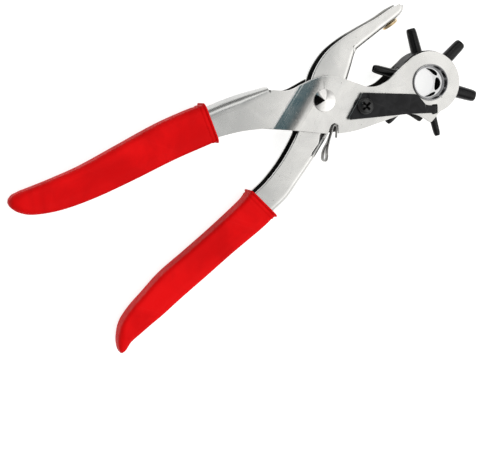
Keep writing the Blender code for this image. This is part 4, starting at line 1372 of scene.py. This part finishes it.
# The camera's place in metres, its viewing direction and its right-hand side
CAMERA_PLACE = (-0.20735, 0.04063, 0.74593)
CAMERA_LOOK = Vector((0.21576, -0.12252, -0.96873))
CAMERA_RIGHT = Vector((0.95987, -0.15542, 0.23345))
FOCAL_LENGTH = 122.3


def soft_patch(tree, direction, centre, inner, outer):
    """How much of a soft lamp window, inner to outer degrees wide, lies in a direction."""
    towards = dot(tree, direction, Vector(centre).normalized())
    return remap(tree, towards, math.cos(math.radians(outer)), math.cos(math.radians(inner)))


def light_studio():
    """A white tent with brighter windows and darker cards, and a soft lamp overhead."""
    world = bpy.data.worlds.new("white_tent")
    bpy.context.scene.world = world
    world.use_nodes = True
    tree = world.node_tree
    tree.nodes.clear()
    direction = tree.nodes.new('ShaderNodeTexCoord').outputs["Generated"]
    height = add_node(tree, 'ShaderNodeSeparateXYZ', {0: direction}).outputs[2]
    band = maths(tree, 'MULTIPLY', remap(tree, height, 0.50, 0.62), remap(tree, height, 0.86, 0.74))
    behind = soft_patch(tree, direction, (0.32, 0.9, 0.8), 16, 40)
    right_side = soft_patch(tree, direction, (0.9, -0.55, 0.35), 18, 60)
    overhead = soft_patch(tree, direction, (0.50, -0.36, 1.0), 16, 36)
    top_window = soft_patch(tree, direction, (0.25, 0.27, 0.93), 8, 12)
    left_dark = soft_patch(tree, direction, (-0.32, 0.33, 0.885), 15, 22)
    black_card = soft_patch(tree, direction, (-0.13, 0.02, 0.99), 13, 14)
    light = remap(tree, height, 0.15, 0.75, 0.26, 0.36)
    windows = ((maths(tree, 'MULTIPLY', band, behind), 1.3), (overhead, 0.66),
               (right_side, 0.55), (top_window, 0.70))
    for window, strength in windows:
        light = maths(tree, 'ADD', light, maths(tree, 'MULTIPLY', window, strength))
    for card, left_over in ((left_dark, 0.30), (black_card, 0.01)):
        light = maths(tree, 'MULTIPLY', light, remap(tree, card, 0.0, 1.0, 1.0, left_over))
    tint = blend_colours(tree, left_dark, (1.0, 0.995, 0.98, 1.0), (0.52, 1.02, 1.19, 1.0))
    tent = add_node(tree, 'ShaderNodeBackground', {"Color": tint, "Strength": light})
    pale = add_node(tree, 'ShaderNodeBackground', {"Color": (0.97, 0.97, 0.97, 1.0)})
    seen = tree.nodes.new('ShaderNodeLightPath').outputs["Is Camera Ray"]
    both = add_node(tree, 'ShaderNodeMixShader', {0: seen, 1: tent.outputs[0], 2: pale.outputs[0]})
    out = tree.nodes.new('ShaderNodeOutputWorld')
    tree.links.new(both.outputs[0], out.inputs["Surface"])

    lamp = bpy.data.lights.new("overhead_lamp", 'AREA')
    lamp.shape = 'DISK'
    lamp.size = 1.4
    lamp.energy = 6.5
    hung = bpy.data.objects.new("overhead_lamp", lamp)
    hung.location = (0.06, -0.06, 1.2)
    aim = Vector((-0.03, -0.03, 0.0)) - hung.location
    hung.rotation_euler = aim.to_track_quat('-Z', 'Y').to_euler()
    hung.visible_glossy = False
    bpy.context.scene.collection.objects.link(hung)


def lay_floor():
    """A wide pale board that the tool lies on."""
    bm = bmesh.new()
    corners = ((-1, -1), (1, -1), (1, 1), (-1, 1))
    bm.faces.new([bm.verts.new((x * FLOOR_REACH, y * FLOOR_REACH, -MIDDLE)) for x, y in corners])
    floor = make("pale_floor", bm, [bench_paper()])


def set_camera():
    """A long lens that looks down on the tool from above its left side."""
    lens = bpy.data.cameras.new("long_lens")
    lens.sensor_width = 36.0
    lens.lens = FOCAL_LENGTH
    lens.clip_start = 0.01
    lens.clip_end = 20.0
    camera = bpy.data.objects.new("long_lens", lens)
    look = CAMERA_LOOK.normalized()
    right = (CAMERA_RIGHT - look * CAMERA_RIGHT.dot(look)).normalized()
    up = right.cross(look)
    turn = Matrix((right, up, -look)).transposed().to_4x4()
    camera.matrix_world = Matrix.Translation(CAMERA_PLACE) @ turn
    bpy.context.scene.collection.objects.link(camera)
    bpy.context.scene.camera = camera


build_punch_lever()
build_anvil_lever()
build_rivet()
build_pivot_washers()
build_hub()
build_tubes()
build_axle()
build_leaf()
build_spacer()
build_screw()
build_nut()
build_anvil()
build_spring()
build_grip("upper_grip_sleeve", UPPER_GRIP, HANDLE_HALF, 2.6, "grip_upper")
build_grip("lower_grip_sleeve", LOWER_GRIP, ANVIL_HALF, 2.0, "grip_lower")
lay_floor()
light_studio()
set_camera()
bpy.context.scene.view_settings.view_transform = 'Standard'
bpy.context.scene.view_settings.look = 'None'
